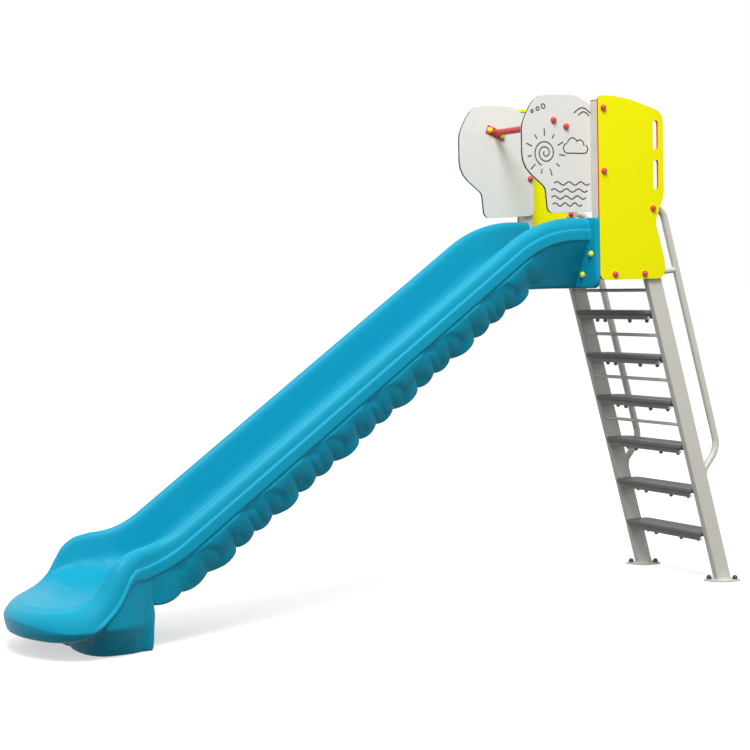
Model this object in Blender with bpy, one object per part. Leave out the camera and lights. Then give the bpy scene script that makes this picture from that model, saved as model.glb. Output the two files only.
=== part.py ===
"""Playground slide with a moulded chute, a steel ladder tower and plastic side panels.

Lengths are in metres. The tower stands at X = 0, the chute runs towards -X, the ladder leans
towards +X and the ground is Z = 0. The slide is the same on both sides of Y = 0. At the end
everything hangs from one empty, which puts the middle of the footprint at the world origin.
"""
import math

import bmesh
import bpy
from mathutils import Matrix, Vector

GAP = 0.0003

# Ladder
RISE = 0.215
TREAD_COUNT = 6
FIRST_TREAD_TOP = 0.2425
LEAN = math.radians(15.3)
STRINGER_FOOT_X = 0.6775
STRINGER_DEPTH = 0.080
STRINGER_WIDTH = 0.036
STRINGER_WALL = 0.003
FRAME_HALF_WIDTH = 0.331
BASE_TIP = 0.1167
BASE_SIDE = 0.0615
BASE_TIP_RADIUS = 0.0255
BASE_SIDE_RADIUS = 0.050
BASE_THICK = 0.008
BASE_CENTRE_X = 0.714
BASE_TURN = math.radians(-36.0)
ANCHOR_SPACING = 0.124
ANCHOR_HOLE = 0.0070
TREAD_DEPTH = 0.142
TREAD_THICK = 0.018
TREAD_NOSE = 0.022
TREAD_CORNERS = (0.020, 0.024)
TREAD_EDGE = 0.004
TREAD_PLAY = 0.0007
TRAY_HEIGHT = 0.024
TRAY_DEPTH = 0.112
TRAY_SETBACK = 0.014
SHEET = 0.003
LUG_LENGTH = 0.017
LUG_HEIGHT = 0.014
LUG_THICK = 0.005
LUG_HOLD = 0.012
ROD_RADIUS = 0.008
ROD_SETBACK = 0.012
ROD_DROP = 0.010
ROD_COUNT = 4

# Platform
POST_SIDE = 0.050
POST_BOTTOM = 1.4725
POST_TOP = 2.289
POST_WALL = 0.003
CAP_THICK = 0.004
CAP_STEM = 0.015
CAP_PLAY = 0.001
RAIL_HEIGHT = 0.040
RAIL_WIDTH = 0.040
RAIL_BOTTOM = 1.4725
DECK_THICK = 0.018
DECK_BACK = 0.353
DECK_PLAY = 0.0005
MIDDLE_BEARER_X = 0.150
REAR_BEARER_X = 0.290

# Panels
PANEL_THICK = 0.015
PANEL_BOTTOM = 1.468
PANEL_TOP = 2.311
PANEL_LENGTH = 0.367
SLOT_X = 0.3225
SLOT_WIDTH = 0.030
SLOT_LENGTH = 0.138
SLOT_BOTTOMS = (1.8835, 2.0665)
FACE_LEFT = -0.369
FACE_RIGHT = 0.046
FACE_BOTTOM = 1.776
FACE_TOP = 2.317
FACE_NECK_X = -0.238

# Handrail
HANDRAIL_Y = 0.311
HANDRAIL_RADIUS = 0.01685
HANDRAIL_LINE_X = 0.873
HANDRAIL_TOP = 1.796
HANDRAIL_TAB_X = 0.302
TAB_INNER = 0.3225
HANDRAIL_TOP_BEND = 0.057
HANDRAIL_LOW_BEND = 0.070
HANDRAIL_LOW_CORNER_Z = 0.648
HANDRAIL_END_Z = 0.551
HANDRAIL_END_DROP = 0.028
HANDRAIL_BITE = 0.020
STAY_RADIUS = 0.0135
STAY_Z = 1.497
STAY_RISE = 0.012
TAB_HALF = 0.020
TAB_BACK = 0.045
TAB_PLAY = 0.0025

# Safety bar
BAR_X = -0.1695
BAR_Z = 2.185
BAR_RADIUS = 0.016
BAR_TILT = math.radians(-21.5)
BAR_PLATE = (0.108, 0.042, 0.004)
BAR_BOLT_SPREAD = 0.0735

# Fasteners
BOLT_RADIUS = 0.005
HOLE_RADIUS = 0.0056
DOME_RADIUS = 0.0148
DOME_HEIGHT = 0.0150
NUT_RADIUS = 0.0090
NUT_HEIGHT = 0.0080
POST_BOLTS_X = 0.0265
POST_BOLTS_Z = (1.966, 2.254)
RAIL_BOLTS_X = (0.082, 0.250)
RAIL_BOLT_Z = 1.4925
BORE_FROM = 0.27
BORE_TO = 0.34
FLANGE_BOLTS = ((0.306, 1.588), (0.237, 1.4925))

# Chute, in its own cross-section: half widths and depths below the rim's crown
CROWN_Z = 1.755
CROWN_LEVEL = 0.070
CROWN_BEND = 0.600
SLOPE = math.radians(35.26)
SLOPE_LENGTH = 1.980
RUNOUT_BEND = 0.415
RUNOUT_SLOPE = math.radians(4.0)
RUNOUT_SINK = 0.020
RUNOUT_LIFT = 0.042
CHANNEL_DEPTH = 0.218
CROWN_Y = 0.257
BEAD_Y = 0.300
INNER_PROFILE = ((0.0, 1.0), (0.110, 1.0), (0.162, 0.99), (0.198, 0.91), (0.218, 0.72),
                 (0.228, 0.42), (0.235, 0.20), (0.243, 0.055))
CROWN_PROFILE = ((0.257, 0.0), (0.273, 0.010), (0.286, 0.034), (0.291, 0.0535), (0.300, 0.0605))
BAND_LOW = (0.300, 0.103)
SKIRT_TOP = (0.292, 0.107)
SKIRT_LOW = (0.228, 0.241)
SKIRT_SHARES = (0.25, 0.5, 0.75)
SCALLOP = 0.165
LOBES = (0.1535, 0.105, 0.105)
LOBE_SKEWS = (0.8, 1.0, 1.0)
LOBE_COUNT = 18
LOBE_START = 0.0250
LOBE_STEPS = 4
RUNOUT_LOBE = 0.090

# Relief of the skirt, repeated with every three lobes. Places are distances down the slope from
# the first lobe's start and down the skirt from the band: a proud web between a leaning line and
# an arch, and two domes (along, down, radius, height) in the pocket beyond the arch
WEB_LINE = (-0.093, 0.628)
WEB_HEIGHTS = (0.006, 0.018)
ARCH = (0.173, 0.111, 0.098)
DOMES = ((0.154, 0.082, 0.070, 0.014), (0.2695, 0.088, 0.065, 0.012))
ENTRY_STEPS = 9
ENTRY_BOTTOM = 1.432
ENTRY_SKIRT_Y = 0.178

# Flange at the top of the chute
FLANGE_THICK = 0.022
FLANGE_HALF = 0.342
FLANGE_BOTTOM = 1.430
FLANGE_TOP_RADIUS = 0.012
FLANGE_LOW_RADIUS = 0.040
FLANGE_STEP = 0.060

# Exit lip: the outline is straight up to EXIT_X and round beyond it
EXIT_X = -2.440
EXIT_FLOOR = (0.250, 0.228)
EXIT_WALL = 0.120
EXIT_STRETCH = 290.0 / 300.0
FOOT_BACK = ((0.14, -2.192, 0.150), (0.28, -2.196, 0.090), (0.50, -2.204, 0.0), (1.0, -2.250, 0.0))
FOOT_HALF = 0.272
LIP_UNDER_Z = 0.076
LIP_UNDER_Y = 0.235
LIP_TUCK = 0.016
FOOT_SHOULDER = (0.006, 0.068)

# The run-out flares: widest past FLARE_X[1], and less so below FLARE_FULL_Z
FLARE = 0.29
FLARE_X = (-2.150, -2.400)
FLARE_FULL_Z = 0.120

# Each row is one section through the exit: how far the crown and the bead have gone along their
# outlines past EXIT_X, their heights, the band's height, and where the foot's wall meets the ground
EXIT_ROWS = (
    (-0.126, 0.418, -0.150, 0.346, 0.040, -2.290, 0.286),
    (-0.098, 0.407, -0.118, 0.316, 0.030, -2.328, 0.287),
    (-0.052, 0.374, -0.086, 0.262, 0.018, -2.364, 0.286),
    (-0.014, 0.320, -0.056, 0.218, 0.012, -2.392, 0.283),
    (0.018, 0.270, -0.021, 0.181, 0.012, -2.414, 0.274),
    (0.066, 0.229, 0.030, 0.141, 0.014, -2.437, 0.250),
    (0.130, 0.202, 0.112, 0.110, 0.016, -2.459, 0.205),
    (0.215, 0.189, 0.220, 0.116, 0.030, -2.472, 0.132),
    (0.310, 0.182, 0.352, 0.130, 0.042, -2.474, 0.060),
    (0.4037, 0.180, 0.4712, 0.134, 0.046, -2.468, 0.0),
)
EXIT_STEPS = 2


def clear_scene():
    """Remove whatever the file holds."""
    for item in list(bpy.data.objects):
        bpy.data.objects.remove(item, do_unlink=True)


def material(name, colour, roughness, metallic=0.0):
    """A Principled material, made once."""
    found = bpy.data.materials.get(name)
    if found:
        return found
    made = bpy.data.materials.new(name)
    made.use_nodes = True
    shader = made.node_tree.nodes["Principled BSDF"]
    shader.inputs["Base Color"].default_value = (*colour, 1.0)
    shader.inputs["Roughness"].default_value = roughness
    shader.inputs["Metallic"].default_value = metallic
    return made


def blue_moulding():
    return material("blue_moulding", (0.012, 0.300, 0.510), 0.40)


def grey_paint():
    return material("grey_paint", (0.560, 0.555, 0.520), 0.45, 0.1)


def dark_board():
    return material("dark_board", (0.055, 0.058, 0.058), 0.60)


def dark_plastic():
    return material("dark_plastic", (0.020, 0.020, 0.022), 0.45)


def yellow_sheet():
    return material("yellow_sheet", (0.840, 0.820, 0.010), 0.45)


def white_sheet():
    return material("white_sheet", (0.800, 0.790, 0.760), 0.50)


def red_paint():
    return material("red_paint", (0.620, 0.045, 0.055), 0.40)


def yellow_cap():
    return material("yellow_cap", (0.800, 0.780, 0.020), 0.35)


def add_object(name, mesh, finish):
    """Link a mesh to the scene under a name, with its material."""
    made = bpy.data.objects.new(name, mesh)
    bpy.context.scene.collection.objects.link(made)
    mesh.materials.clear()
    mesh.materials.append(finish)
    return made


def mesh_from(shape, name):
    """Turn a bmesh into a mesh whose faces point out."""
    bmesh.ops.remove_doubles(shape, verts=shape.verts, dist=0.00002)
    bmesh.ops.recalc_face_normals(shape, faces=shape.faces)
    mesh = bpy.data.meshes.new(name)
    shape.to_mesh(mesh)
    shape.free()
    return mesh


def smooth(target, angle=40.0):
    """Shade round pieces smooth and keep their sharp edges."""
    target.data.shade_smooth()
    target.data.set_sharp_from_angle(angle=math.radians(angle))
    return target


def both_sides(name, build):
    """Build a piece on the near side (-Y) and its twin on the far side (+Y)."""
    return [build(f"{name}_near", -1.0), build(f"{name}_far", 1.0)]


def block(name, low, high, finish):
    """A plain rectangular solid between two corners."""
    shape = bmesh.new()
    bmesh.ops.create_cube(shape, size=1.0)
    size = [b - a for a, b in zip(low, high)]
    middle = [(a + b) / 2 for a, b in zip(low, high)]
    bmesh.ops.scale(shape, vec=size, verts=shape.verts)
    bmesh.ops.translate(shape, vec=middle, verts=shape.verts)
    return add_object(name, mesh_from(shape, name), finish)


def side_block(name, side, low, high, finish):
    """A block given for the far side, mirrored to the side asked for."""
    near, far = sorted((side * low[1], side * high[1]))
    return block(name, (low[0], near, low[2]), (high[0], far, high[2]), finish)


def rod(name, start, end, radius, finish, sides=12):
    """A round bar from one point to another."""
    axis = Vector(end) - Vector(start)
    turn = Vector((0, 0, 1)).rotation_difference(axis).to_matrix().to_4x4()
    place = Matrix.Translation((Vector(start) + Vector(end)) / 2) @ turn
    shape = bmesh.new()
    bmesh.ops.create_cone(shape, cap_ends=True, segments=sides, radius1=radius, radius2=radius,
                          depth=axis.length, matrix=place)
    return smooth(add_object(name, mesh_from(shape, name), finish))


def cutter(made):
    """Mark an object as a tool that only cuts."""
    made.hide_render = True
    made.display_type = "WIRE"
    return made


def combine(target, tool, operation):
    """Union or cut with the exact solver."""
    step = target.modifiers.new(operation.lower(), "BOOLEAN")
    step.operation = operation
    step.solver = "EXACT"
    step.object = cutter(tool)
    return target


def drill(target, start, end, radius=HOLE_RADIUS, sides=10):
    """Bore a straight hole through a piece."""
    hole = rod(f"{target.name}_bore", start, end, radius, dark_plastic(), sides)
    return combine(target, hole, "DIFFERENCE")


def rounded_outline(corners, step=math.radians(18)):
    """Corners (x, z, radius) of a flat outline, with each corner turned into an arc."""
    points = []
    count = len(corners)
    for index, (x, z, radius) in enumerate(corners):
        here = Vector((x, z))
        before = (Vector(corners[index - 1][:2]) - here).normalized()
        after = (Vector(corners[(index + 1) % count][:2]) - here).normalized()
        half = before.angle(after) / 2
        reach = radius / math.tan(half)
        middle = here + (before + after).normalized() * radius / math.sin(half)
        first = here + before * reach - middle
        sweep = math.pi - 2 * half
        sense = 1.0 if before.x * after.y - before.y * after.x < 0 else -1.0
        parts = max(1, round(sweep / step))
        for part in range(parts + 1):
            turn = Matrix.Rotation(sense * sweep * part / parts, 2)
            points.append(middle + turn @ first)
    return points


def plate(name, outline, low_y, high_y, finish):
    """A flat sheet: an outline in X and Z, given a thickness along Y."""
    shape = bmesh.new()
    face = shape.faces.new([shape.verts.new((p.x, low_y, p.y)) for p in outline])
    grown = bmesh.ops.extrude_face_region(shape, geom=[face])
    moved = [item for item in grown["geom"] if isinstance(item, bmesh.types.BMVert)]
    bmesh.ops.translate(shape, vec=(0, high_y - low_y, 0), verts=moved)
    return add_object(name, mesh_from(shape, name), finish)


def turned(name, profile, origin, direction, finish, sides=10):
    """A piece turned round an axis: profile gives (radius, distance along the axis)."""
    shape = bmesh.new()
    verts = [shape.verts.new((radius, 0, along)) for radius, along in profile]
    edges = [shape.edges.new(pair) for pair in zip(verts, verts[1:])]
    bmesh.ops.spin(shape, geom=verts + edges, cent=(0, 0, 0), axis=(0, 0, 1),
                   angle=math.tau, steps=sides, use_merge=True)
    turn = Vector((0, 0, 1)).rotation_difference(Vector(direction)).to_matrix().to_4x4()
    bmesh.ops.transform(shape, matrix=Matrix.Translation(origin) @ turn, verts=shape.verts)
    return smooth(add_object(name, mesh_from(shape, name), finish))


def stringer_front(z):
    """X of the stringers' front face at a height."""
    return STRINGER_FOOT_X - math.tan(LEAN) * z


def stringer_back(z):
    """X of the stringers' rear face at a height."""
    return stringer_front(z) + STRINGER_DEPTH / math.cos(LEAN)


def leaning_tube(name, side, low_z, high_z):
    """A rectangular tube on the ladder's lean, cut level at both ends."""
    shape = bmesh.new()
    rings = []
    for inset in (0.0, STRINGER_WALL):
        for z in (low_z, high_z):
            front = stringer_front(z) + inset / math.cos(LEAN)
            back = stringer_back(z) - inset / math.cos(LEAN)
            outer = FRAME_HALF_WIDTH - inset
            inner = FRAME_HALF_WIDTH - STRINGER_WIDTH + inset
            places = ((front, inner), (back, inner), (back, outer), (front, outer))
            rings.append([shape.verts.new((x, side * y, z)) for x, y in places])
    walls = ((rings[0], rings[1]), (rings[1], rings[3]), (rings[3], rings[2]), (rings[2], rings[0]))
    for first, second in walls:
        for index in range(4):
            after = (index + 1) % 4
            shape.faces.new((first[index], first[after], second[after], second[index]))
    return add_object(name, mesh_from(shape, name), grey_paint())


def build_stringers():
    top = RAIL_BOTTOM + RAIL_HEIGHT
    both_sides("stringer", lambda name, side: leaning_tube(name, side, BASE_THICK + GAP, top))


def base_point(side, along, across=0.0):
    """A place on a base plate, along and across its long axis, which lies askew to the stringer."""
    centre = Vector((BASE_CENTRE_X, side * (FRAME_HALF_WIDTH - STRINGER_WIDTH / 2)))
    place = centre + Matrix.Rotation(BASE_TURN, 2) @ Vector((along, across))
    return place.x, place.y


def base_plate(name, side):
    """An oval anchor plate with two bolt holes."""
    corners = [(-BASE_TIP, 0, BASE_TIP_RADIUS), (0, -BASE_SIDE, BASE_SIDE_RADIUS),
               (BASE_TIP, 0, BASE_TIP_RADIUS), (0, BASE_SIDE, BASE_SIDE_RADIUS)]
    shape = bmesh.new()
    face = shape.faces.new([shape.verts.new((*base_point(side, p.x, p.y), 0))
                            for p in rounded_outline(corners)])
    grown = bmesh.ops.extrude_face_region(shape, geom=[face])
    moved = [item for item in grown["geom"] if isinstance(item, bmesh.types.BMVert)]
    bmesh.ops.translate(shape, vec=(0, 0, BASE_THICK), verts=moved)
    made = add_object(name, mesh_from(shape, name), grey_paint())
    for along in (-ANCHOR_SPACING / 2, ANCHOR_SPACING / 2):
        x, y = base_point(side, along)
        drill(made, (x, y, -0.01), (x, y, BASE_THICK + 0.01), ANCHOR_HOLE)
    return made


def build_base():
    both_sides("base_plate", base_plate)
    profile = ((0, 0), (0.0135, 0), (0.0135, 0.003), (0.0122, 0.003), (0.0122, 0.012),
               (0.0100, 0.018), (0.0055, 0.0220), (0, 0.023))
    for label, side in (("near", -1.0), ("far", 1.0)):
        for place, along in (("front", -ANCHOR_SPACING / 2), ("rear", ANCHOR_SPACING / 2)):
            turned(f"anchor_nut_{label}_{place}", profile,
                   (*base_point(side, along), BASE_THICK + GAP), (0, 0, 1), dark_plastic())


def tread_top(index):
    return FIRST_TREAD_TOP + RISE * index


def tread_board(index):
    """A dark board with rounded corners and a rounded nose."""
    top = tread_top(index)
    front = stringer_front(top) - TREAD_NOSE
    half = FRAME_HALF_WIDTH - STRINGER_WIDTH - TREAD_PLAY
    back = front + TREAD_DEPTH
    nose, tail = TREAD_CORNERS
    corners = [(front, -half, nose), (back, -half, tail), (back, half, tail), (front, half, nose)]
    shape = bmesh.new()
    face = shape.faces.new([shape.verts.new((p.x, p.y, top - TREAD_THICK))
                            for p in rounded_outline(corners)])
    grown = bmesh.ops.extrude_face_region(shape, geom=[face])
    moved = [item for item in grown["geom"] if isinstance(item, bmesh.types.BMVert)]
    bmesh.ops.translate(shape, vec=(0, 0, TREAD_THICK), verts=moved)
    rims = [edge for edge in shape.edges if abs(edge.verts[0].co.z - edge.verts[1].co.z) < 1e-6]
    bmesh.ops.bevel(shape, geom=rims, offset=TREAD_EDGE, affect="EDGES", segments=1, profile=0.5,
                    material=-1)
    name = f"tread_{index + 1}"
    return smooth(add_object(name, mesh_from(shape, name), dark_board()))


def tread_tray(index):
    """A folded tray under a tread, open below, with raked ends and lugs that meet the stringers."""
    top = tread_top(index) - TREAD_THICK - GAP
    front = stringer_front(tread_top(index)) - TREAD_NOSE + TRAY_SETBACK
    back = front + TRAY_DEPTH
    low = top - TRAY_HEIGHT
    half = FRAME_HALF_WIDTH - STRINGER_WIDTH - GAP
    name = f"tread_tray_{index + 1}"
    outline = [(front, top), (back, top), (back, low), (back - SHEET, low), (back - SHEET, top - SHEET),
               (front + SHEET, top - SHEET), (front + SHEET, low), (front, low)]
    made = plate(name, [Vector(p) for p in outline], -half, half, grey_paint())
    for vert in made.data.vertices:
        rake = LUG_LENGTH * (top - vert.co.z) / TRAY_HEIGHT
        vert.co.y = math.copysign(half - rake, vert.co.y)
    inside = half - LUG_LENGTH - LUG_HOLD
    overlap = SHEET / 3
    for side in (-1.0, 1.0):
        for start in (front + SHEET - overlap, back - SHEET + overlap - LUG_THICK):
            lug = side_block(f"{name}_lug", side, (start, inside, low + overlap),
                             (start + LUG_THICK, half, low + overlap + LUG_HEIGHT), grey_paint())
            combine(made, lug, "UNION")
    return made


def build_treads():
    for index in range(TREAD_COUNT):
        tread_board(index)
        tread_tray(index)


def build_rods():
    """Thin bars halfway between the upper treads and under the platform."""
    half = FRAME_HALF_WIDTH - STRINGER_WIDTH - GAP
    for index in range(ROD_COUNT):
        z = tread_top(TREAD_COUNT - 1 - index) + RISE / 2 - ROD_DROP
        x = stringer_front(z) + ROD_SETBACK
        rod(f"cross_rod_{index + 1}", (x, -half, z), (x, half, z), ROD_RADIUS, grey_paint(), 10)


def post(name, side):
    """A square tube post, open at both ends."""
    inner = FRAME_HALF_WIDTH - POST_SIDE
    made = side_block(name, side, (0, inner, POST_BOTTOM), (POST_SIDE, FRAME_HALF_WIDTH, POST_TOP),
                      grey_paint())
    bore = side_block(f"{name}_inside", side, (POST_WALL, inner + POST_WALL, POST_BOTTOM - 0.01),
                      (POST_SIDE - POST_WALL, FRAME_HALF_WIDTH - POST_WALL, POST_TOP + 0.01),
                      grey_paint())
    combine(made, bore, "DIFFERENCE")
    for z in POST_BOLTS_Z:
        drill(made, (POST_BOLTS_X, side * BORE_FROM, z), (POST_BOLTS_X, side * BORE_TO, z))
    bolt_y, bolt_z = FLANGE_BOLTS[0]
    drill(made, (-0.01, side * bolt_y, bolt_z), (0.06, side * bolt_y, bolt_z))
    return made


def post_cap(name, side):
    """A plastic plug: a lid on the post with a stem down the tube."""
    inner = FRAME_HALF_WIDTH - POST_SIDE
    lid = side_block(name, side, (0, inner, POST_TOP + GAP),
                     (POST_SIDE, FRAME_HALF_WIDTH, POST_TOP + CAP_THICK), dark_plastic())
    rim = POST_WALL + CAP_PLAY
    stem = side_block(f"{name}_stem", side, (rim, inner + rim, POST_TOP - CAP_STEM),
                      (POST_SIDE - rim, FRAME_HALF_WIDTH - rim, POST_TOP + CAP_THICK / 2),
                      dark_plastic())
    return combine(lid, stem, "UNION")


def side_rail(name, side):
    """A platform rail from the post to the stringer, cut to the ladder's lean."""
    low = RAIL_BOTTOM
    high = RAIL_BOTTOM + RAIL_HEIGHT
    start = POST_SIDE + GAP
    outline = [(start, low), (stringer_front(low) - GAP, low), (stringer_front(high) - GAP, high),
               (start, high)]
    faces = sorted((side * (FRAME_HALF_WIDTH - RAIL_WIDTH), side * FRAME_HALF_WIDTH))
    made = plate(name, [Vector(p) for p in outline], faces[0], faces[1], grey_paint())
    for x in RAIL_BOLTS_X:
        drill(made, (x, side * BORE_FROM, RAIL_BOLT_Z), (x, side * BORE_TO, RAIL_BOLT_Z))
    return made


def build_platform():
    """Side rails, two cross bearers and the deck board."""
    both_sides("side_rail", side_rail)
    low = RAIL_BOTTOM
    high = RAIL_BOTTOM + RAIL_HEIGHT
    half = FRAME_HALF_WIDTH - POST_SIDE - GAP
    front = block("bearer_front", (0, -half, low), (RAIL_WIDTH, half, high), grey_paint())
    bolt_y, bolt_z = FLANGE_BOLTS[1]
    for side in (-1.0, 1.0):
        drill(front, (-0.01, side * bolt_y, bolt_z), (0.06, side * bolt_y, bolt_z))
    half = FRAME_HALF_WIDTH - RAIL_WIDTH - GAP
    block("bearer_middle", (MIDDLE_BEARER_X, -half, low), (MIDDLE_BEARER_X + RAIL_WIDTH, half, high),
          grey_paint())
    half = FRAME_HALF_WIDTH - STRINGER_WIDTH - GAP
    block("bearer_rear", (REAR_BEARER_X, -half, low), (REAR_BEARER_X + RAIL_WIDTH, half, high),
          grey_paint())
    notch = POST_SIDE + 2 * DECK_PLAY
    wide = FRAME_HALF_WIDTH - DECK_PLAY
    narrow = FRAME_HALF_WIDTH - notch
    shape = bmesh.new()
    outline = [(DECK_PLAY, -narrow), (notch, -narrow), (notch, -wide), (DECK_BACK, -wide),
               (DECK_BACK, wide), (notch, wide), (notch, narrow), (DECK_PLAY, narrow)]
    face = shape.faces.new([shape.verts.new((x, y, high + GAP)) for x, y in outline])
    grown = bmesh.ops.extrude_face_region(shape, geom=[face])
    moved = [item for item in grown["geom"] if isinstance(item, bmesh.types.BMVert)]
    bmesh.ops.translate(shape, vec=(0, 0, DECK_THICK), verts=moved)
    add_object("platform_deck", mesh_from(shape, "platform_deck"), dark_board())


def side_panel_outline():
    """The yellow panel: straight front edge, falling top, waist behind the hand slots."""
    return rounded_outline((
        (0.0, PANEL_BOTTOM, 0.026), (PANEL_LENGTH, PANEL_BOTTOM, 0.042),
        (PANEL_LENGTH + 0.003, 1.545, 0.070), (0.316, 1.735, 0.060),
        (PANEL_LENGTH + 0.001, 1.860, 0.090), (PANEL_LENGTH, 2.243, 0.062),
        (0.130, PANEL_TOP, 0.350), (0.0, PANEL_TOP, 0.026)))


def side_panel(name, side):
    """A yellow panel with two hand slots and its bolt holes."""
    inner = FRAME_HALF_WIDTH + GAP
    faces = sorted((side * inner, side * (inner + PANEL_THICK)))
    made = plate(name, side_panel_outline(), faces[0], faces[1], yellow_sheet())
    half = SLOT_WIDTH / 2 - 0.0001
    for low in SLOT_BOTTOMS:
        high = low + SLOT_LENGTH
        corners = [(SLOT_X - half, low, half), (SLOT_X + half, low, half),
                   (SLOT_X + half, high, half), (SLOT_X - half, high, half)]
        tool = plate(f"{name}_slot", rounded_outline(corners, math.radians(30)), faces[0] - 0.01,
                     faces[1] + 0.01, yellow_sheet())
        combine(made, tool, "DIFFERENCE")
    places = [(POST_BOLTS_X, z) for z in POST_BOLTS_Z] + [(x, RAIL_BOLT_Z) for x in RAIL_BOLTS_X]
    places.append((HANDRAIL_TAB_X, HANDRAIL_TOP))
    for x, z in places:
        drill(made, (x, faces[0] - 0.01, z), (x, faces[1] + 0.01, z))
    return made


def entry_panel_outline():
    """The white panel: a round shape on a narrower neck, fixed to the post along its right edge."""
    return rounded_outline((
        (FACE_NECK_X, FACE_BOTTOM, 0.030), (FACE_RIGHT, FACE_BOTTOM + 0.010, 0.030),
        (FACE_RIGHT, 2.250, 0.050), (-0.080, FACE_TOP, 0.120), (-0.300, FACE_TOP - 0.004, 0.110),
        (FACE_LEFT - 0.004, 2.180, 0.120), (FACE_LEFT - 0.004, 1.990, 0.120),
        (FACE_NECK_X - 0.012, 1.893, 0.040)))


def bar_bolt_places():
    reach = BAR_BOLT_SPREAD / 2
    return [(BAR_X + sign * reach * math.cos(BAR_TILT), BAR_Z + sign * reach * math.sin(BAR_TILT))
            for sign in (-1.0, 1.0)]


def entry_panel(name, side):
    """A white panel on the inner face of a post, over the chute's entrance."""
    outer = FRAME_HALF_WIDTH - POST_SIDE - GAP
    faces = sorted((side * outer, side * (outer - PANEL_THICK)))
    made = plate(name, entry_panel_outline(), faces[0], faces[1], white_sheet())
    for x, z in [(POST_BOLTS_X, z) for z in POST_BOLTS_Z] + bar_bolt_places():
        drill(made, (x, faces[0] - 0.01, z), (x, faces[1] + 0.01, z))
    return made


def build_panels():
    both_sides("side_panel", side_panel)
    both_sides("entry_panel", entry_panel)


def bar_plate_reach():
    """How far the safety bar's end plates stand from the middle."""
    return FRAME_HALF_WIDTH - POST_SIDE - GAP - PANEL_THICK - GAP


def build_safety_bar():
    """A tube across the entrance with a tilted plate welded to each end."""
    reach = bar_plate_reach()
    length, height, thick = BAR_PLATE
    bar = rod("safety_bar", (BAR_X, -reach + thick / 2, BAR_Z), (BAR_X, reach - thick / 2, BAR_Z),
              BAR_RADIUS, red_paint(), 16)
    for side in (-1.0, 1.0):
        corners = [(-length / 2, -height / 2, 0.003), (length / 2, -height / 2, 0.003),
                   (length / 2, height / 2, 0.003), (-length / 2, height / 2, 0.003)]
        turn = Matrix.Rotation(BAR_TILT, 2)
        outline = [Vector((BAR_X, BAR_Z)) + turn @ p for p in rounded_outline(corners, math.radians(90))]
        faces = sorted((side * reach, side * (reach - thick)))
        tool = plate(f"safety_bar_plate_{'near' if side < 0 else 'far'}", outline, faces[0], faces[1],
                     red_paint())
        combine(bar, tool, "UNION")
    for x, z in bar_bolt_places():
        drill(bar, (x, -reach - 0.01, z), (x, -reach + 0.02, z))
        drill(bar, (x, reach - 0.02, z), (x, reach + 0.01, z))


def bend(before, corner, after, radius, step=math.radians(15)):
    """Points of an arc that rounds off the corner of a bent tube."""
    first = (Vector(before) - Vector(corner)).normalized()
    second = (Vector(after) - Vector(corner)).normalized()
    half = first.angle(second) / 2
    middle = Vector(corner) + (first + second).normalized() * radius / math.sin(half)
    start = Vector(corner) + first * radius / math.tan(half) - middle
    sweep = math.pi - 2 * half
    axis = start.cross(first * -1.0).normalized()
    parts = max(2, round(sweep / step))
    return [middle + Matrix.Rotation(sweep * part / parts, 3, axis) @ start
            for part in range(parts + 1)]


def tube_along(name, points, radius, finish, resolution=2):
    """A round tube along points, as a mesh."""
    curve = bpy.data.curves.new(name, "CURVE")
    curve.dimensions = "3D"
    curve.bevel_depth = radius
    curve.bevel_resolution = resolution
    curve.use_fill_caps = True
    spline = curve.splines.new("POLY")
    spline.points.add(len(points) - 1)
    for place, point in zip(spline.points, points):
        place.co = (*point, 1.0)
    guide = bpy.data.objects.new(f"{name}_line", curve)
    bpy.context.scene.collection.objects.link(guide)
    mesh = bpy.data.meshes.new_from_object(guide)
    bpy.data.objects.remove(guide, do_unlink=True)
    shape = bmesh.new()
    shape.from_mesh(mesh)
    return smooth(add_object(name, mesh_from(shape, name), finish))


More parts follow.
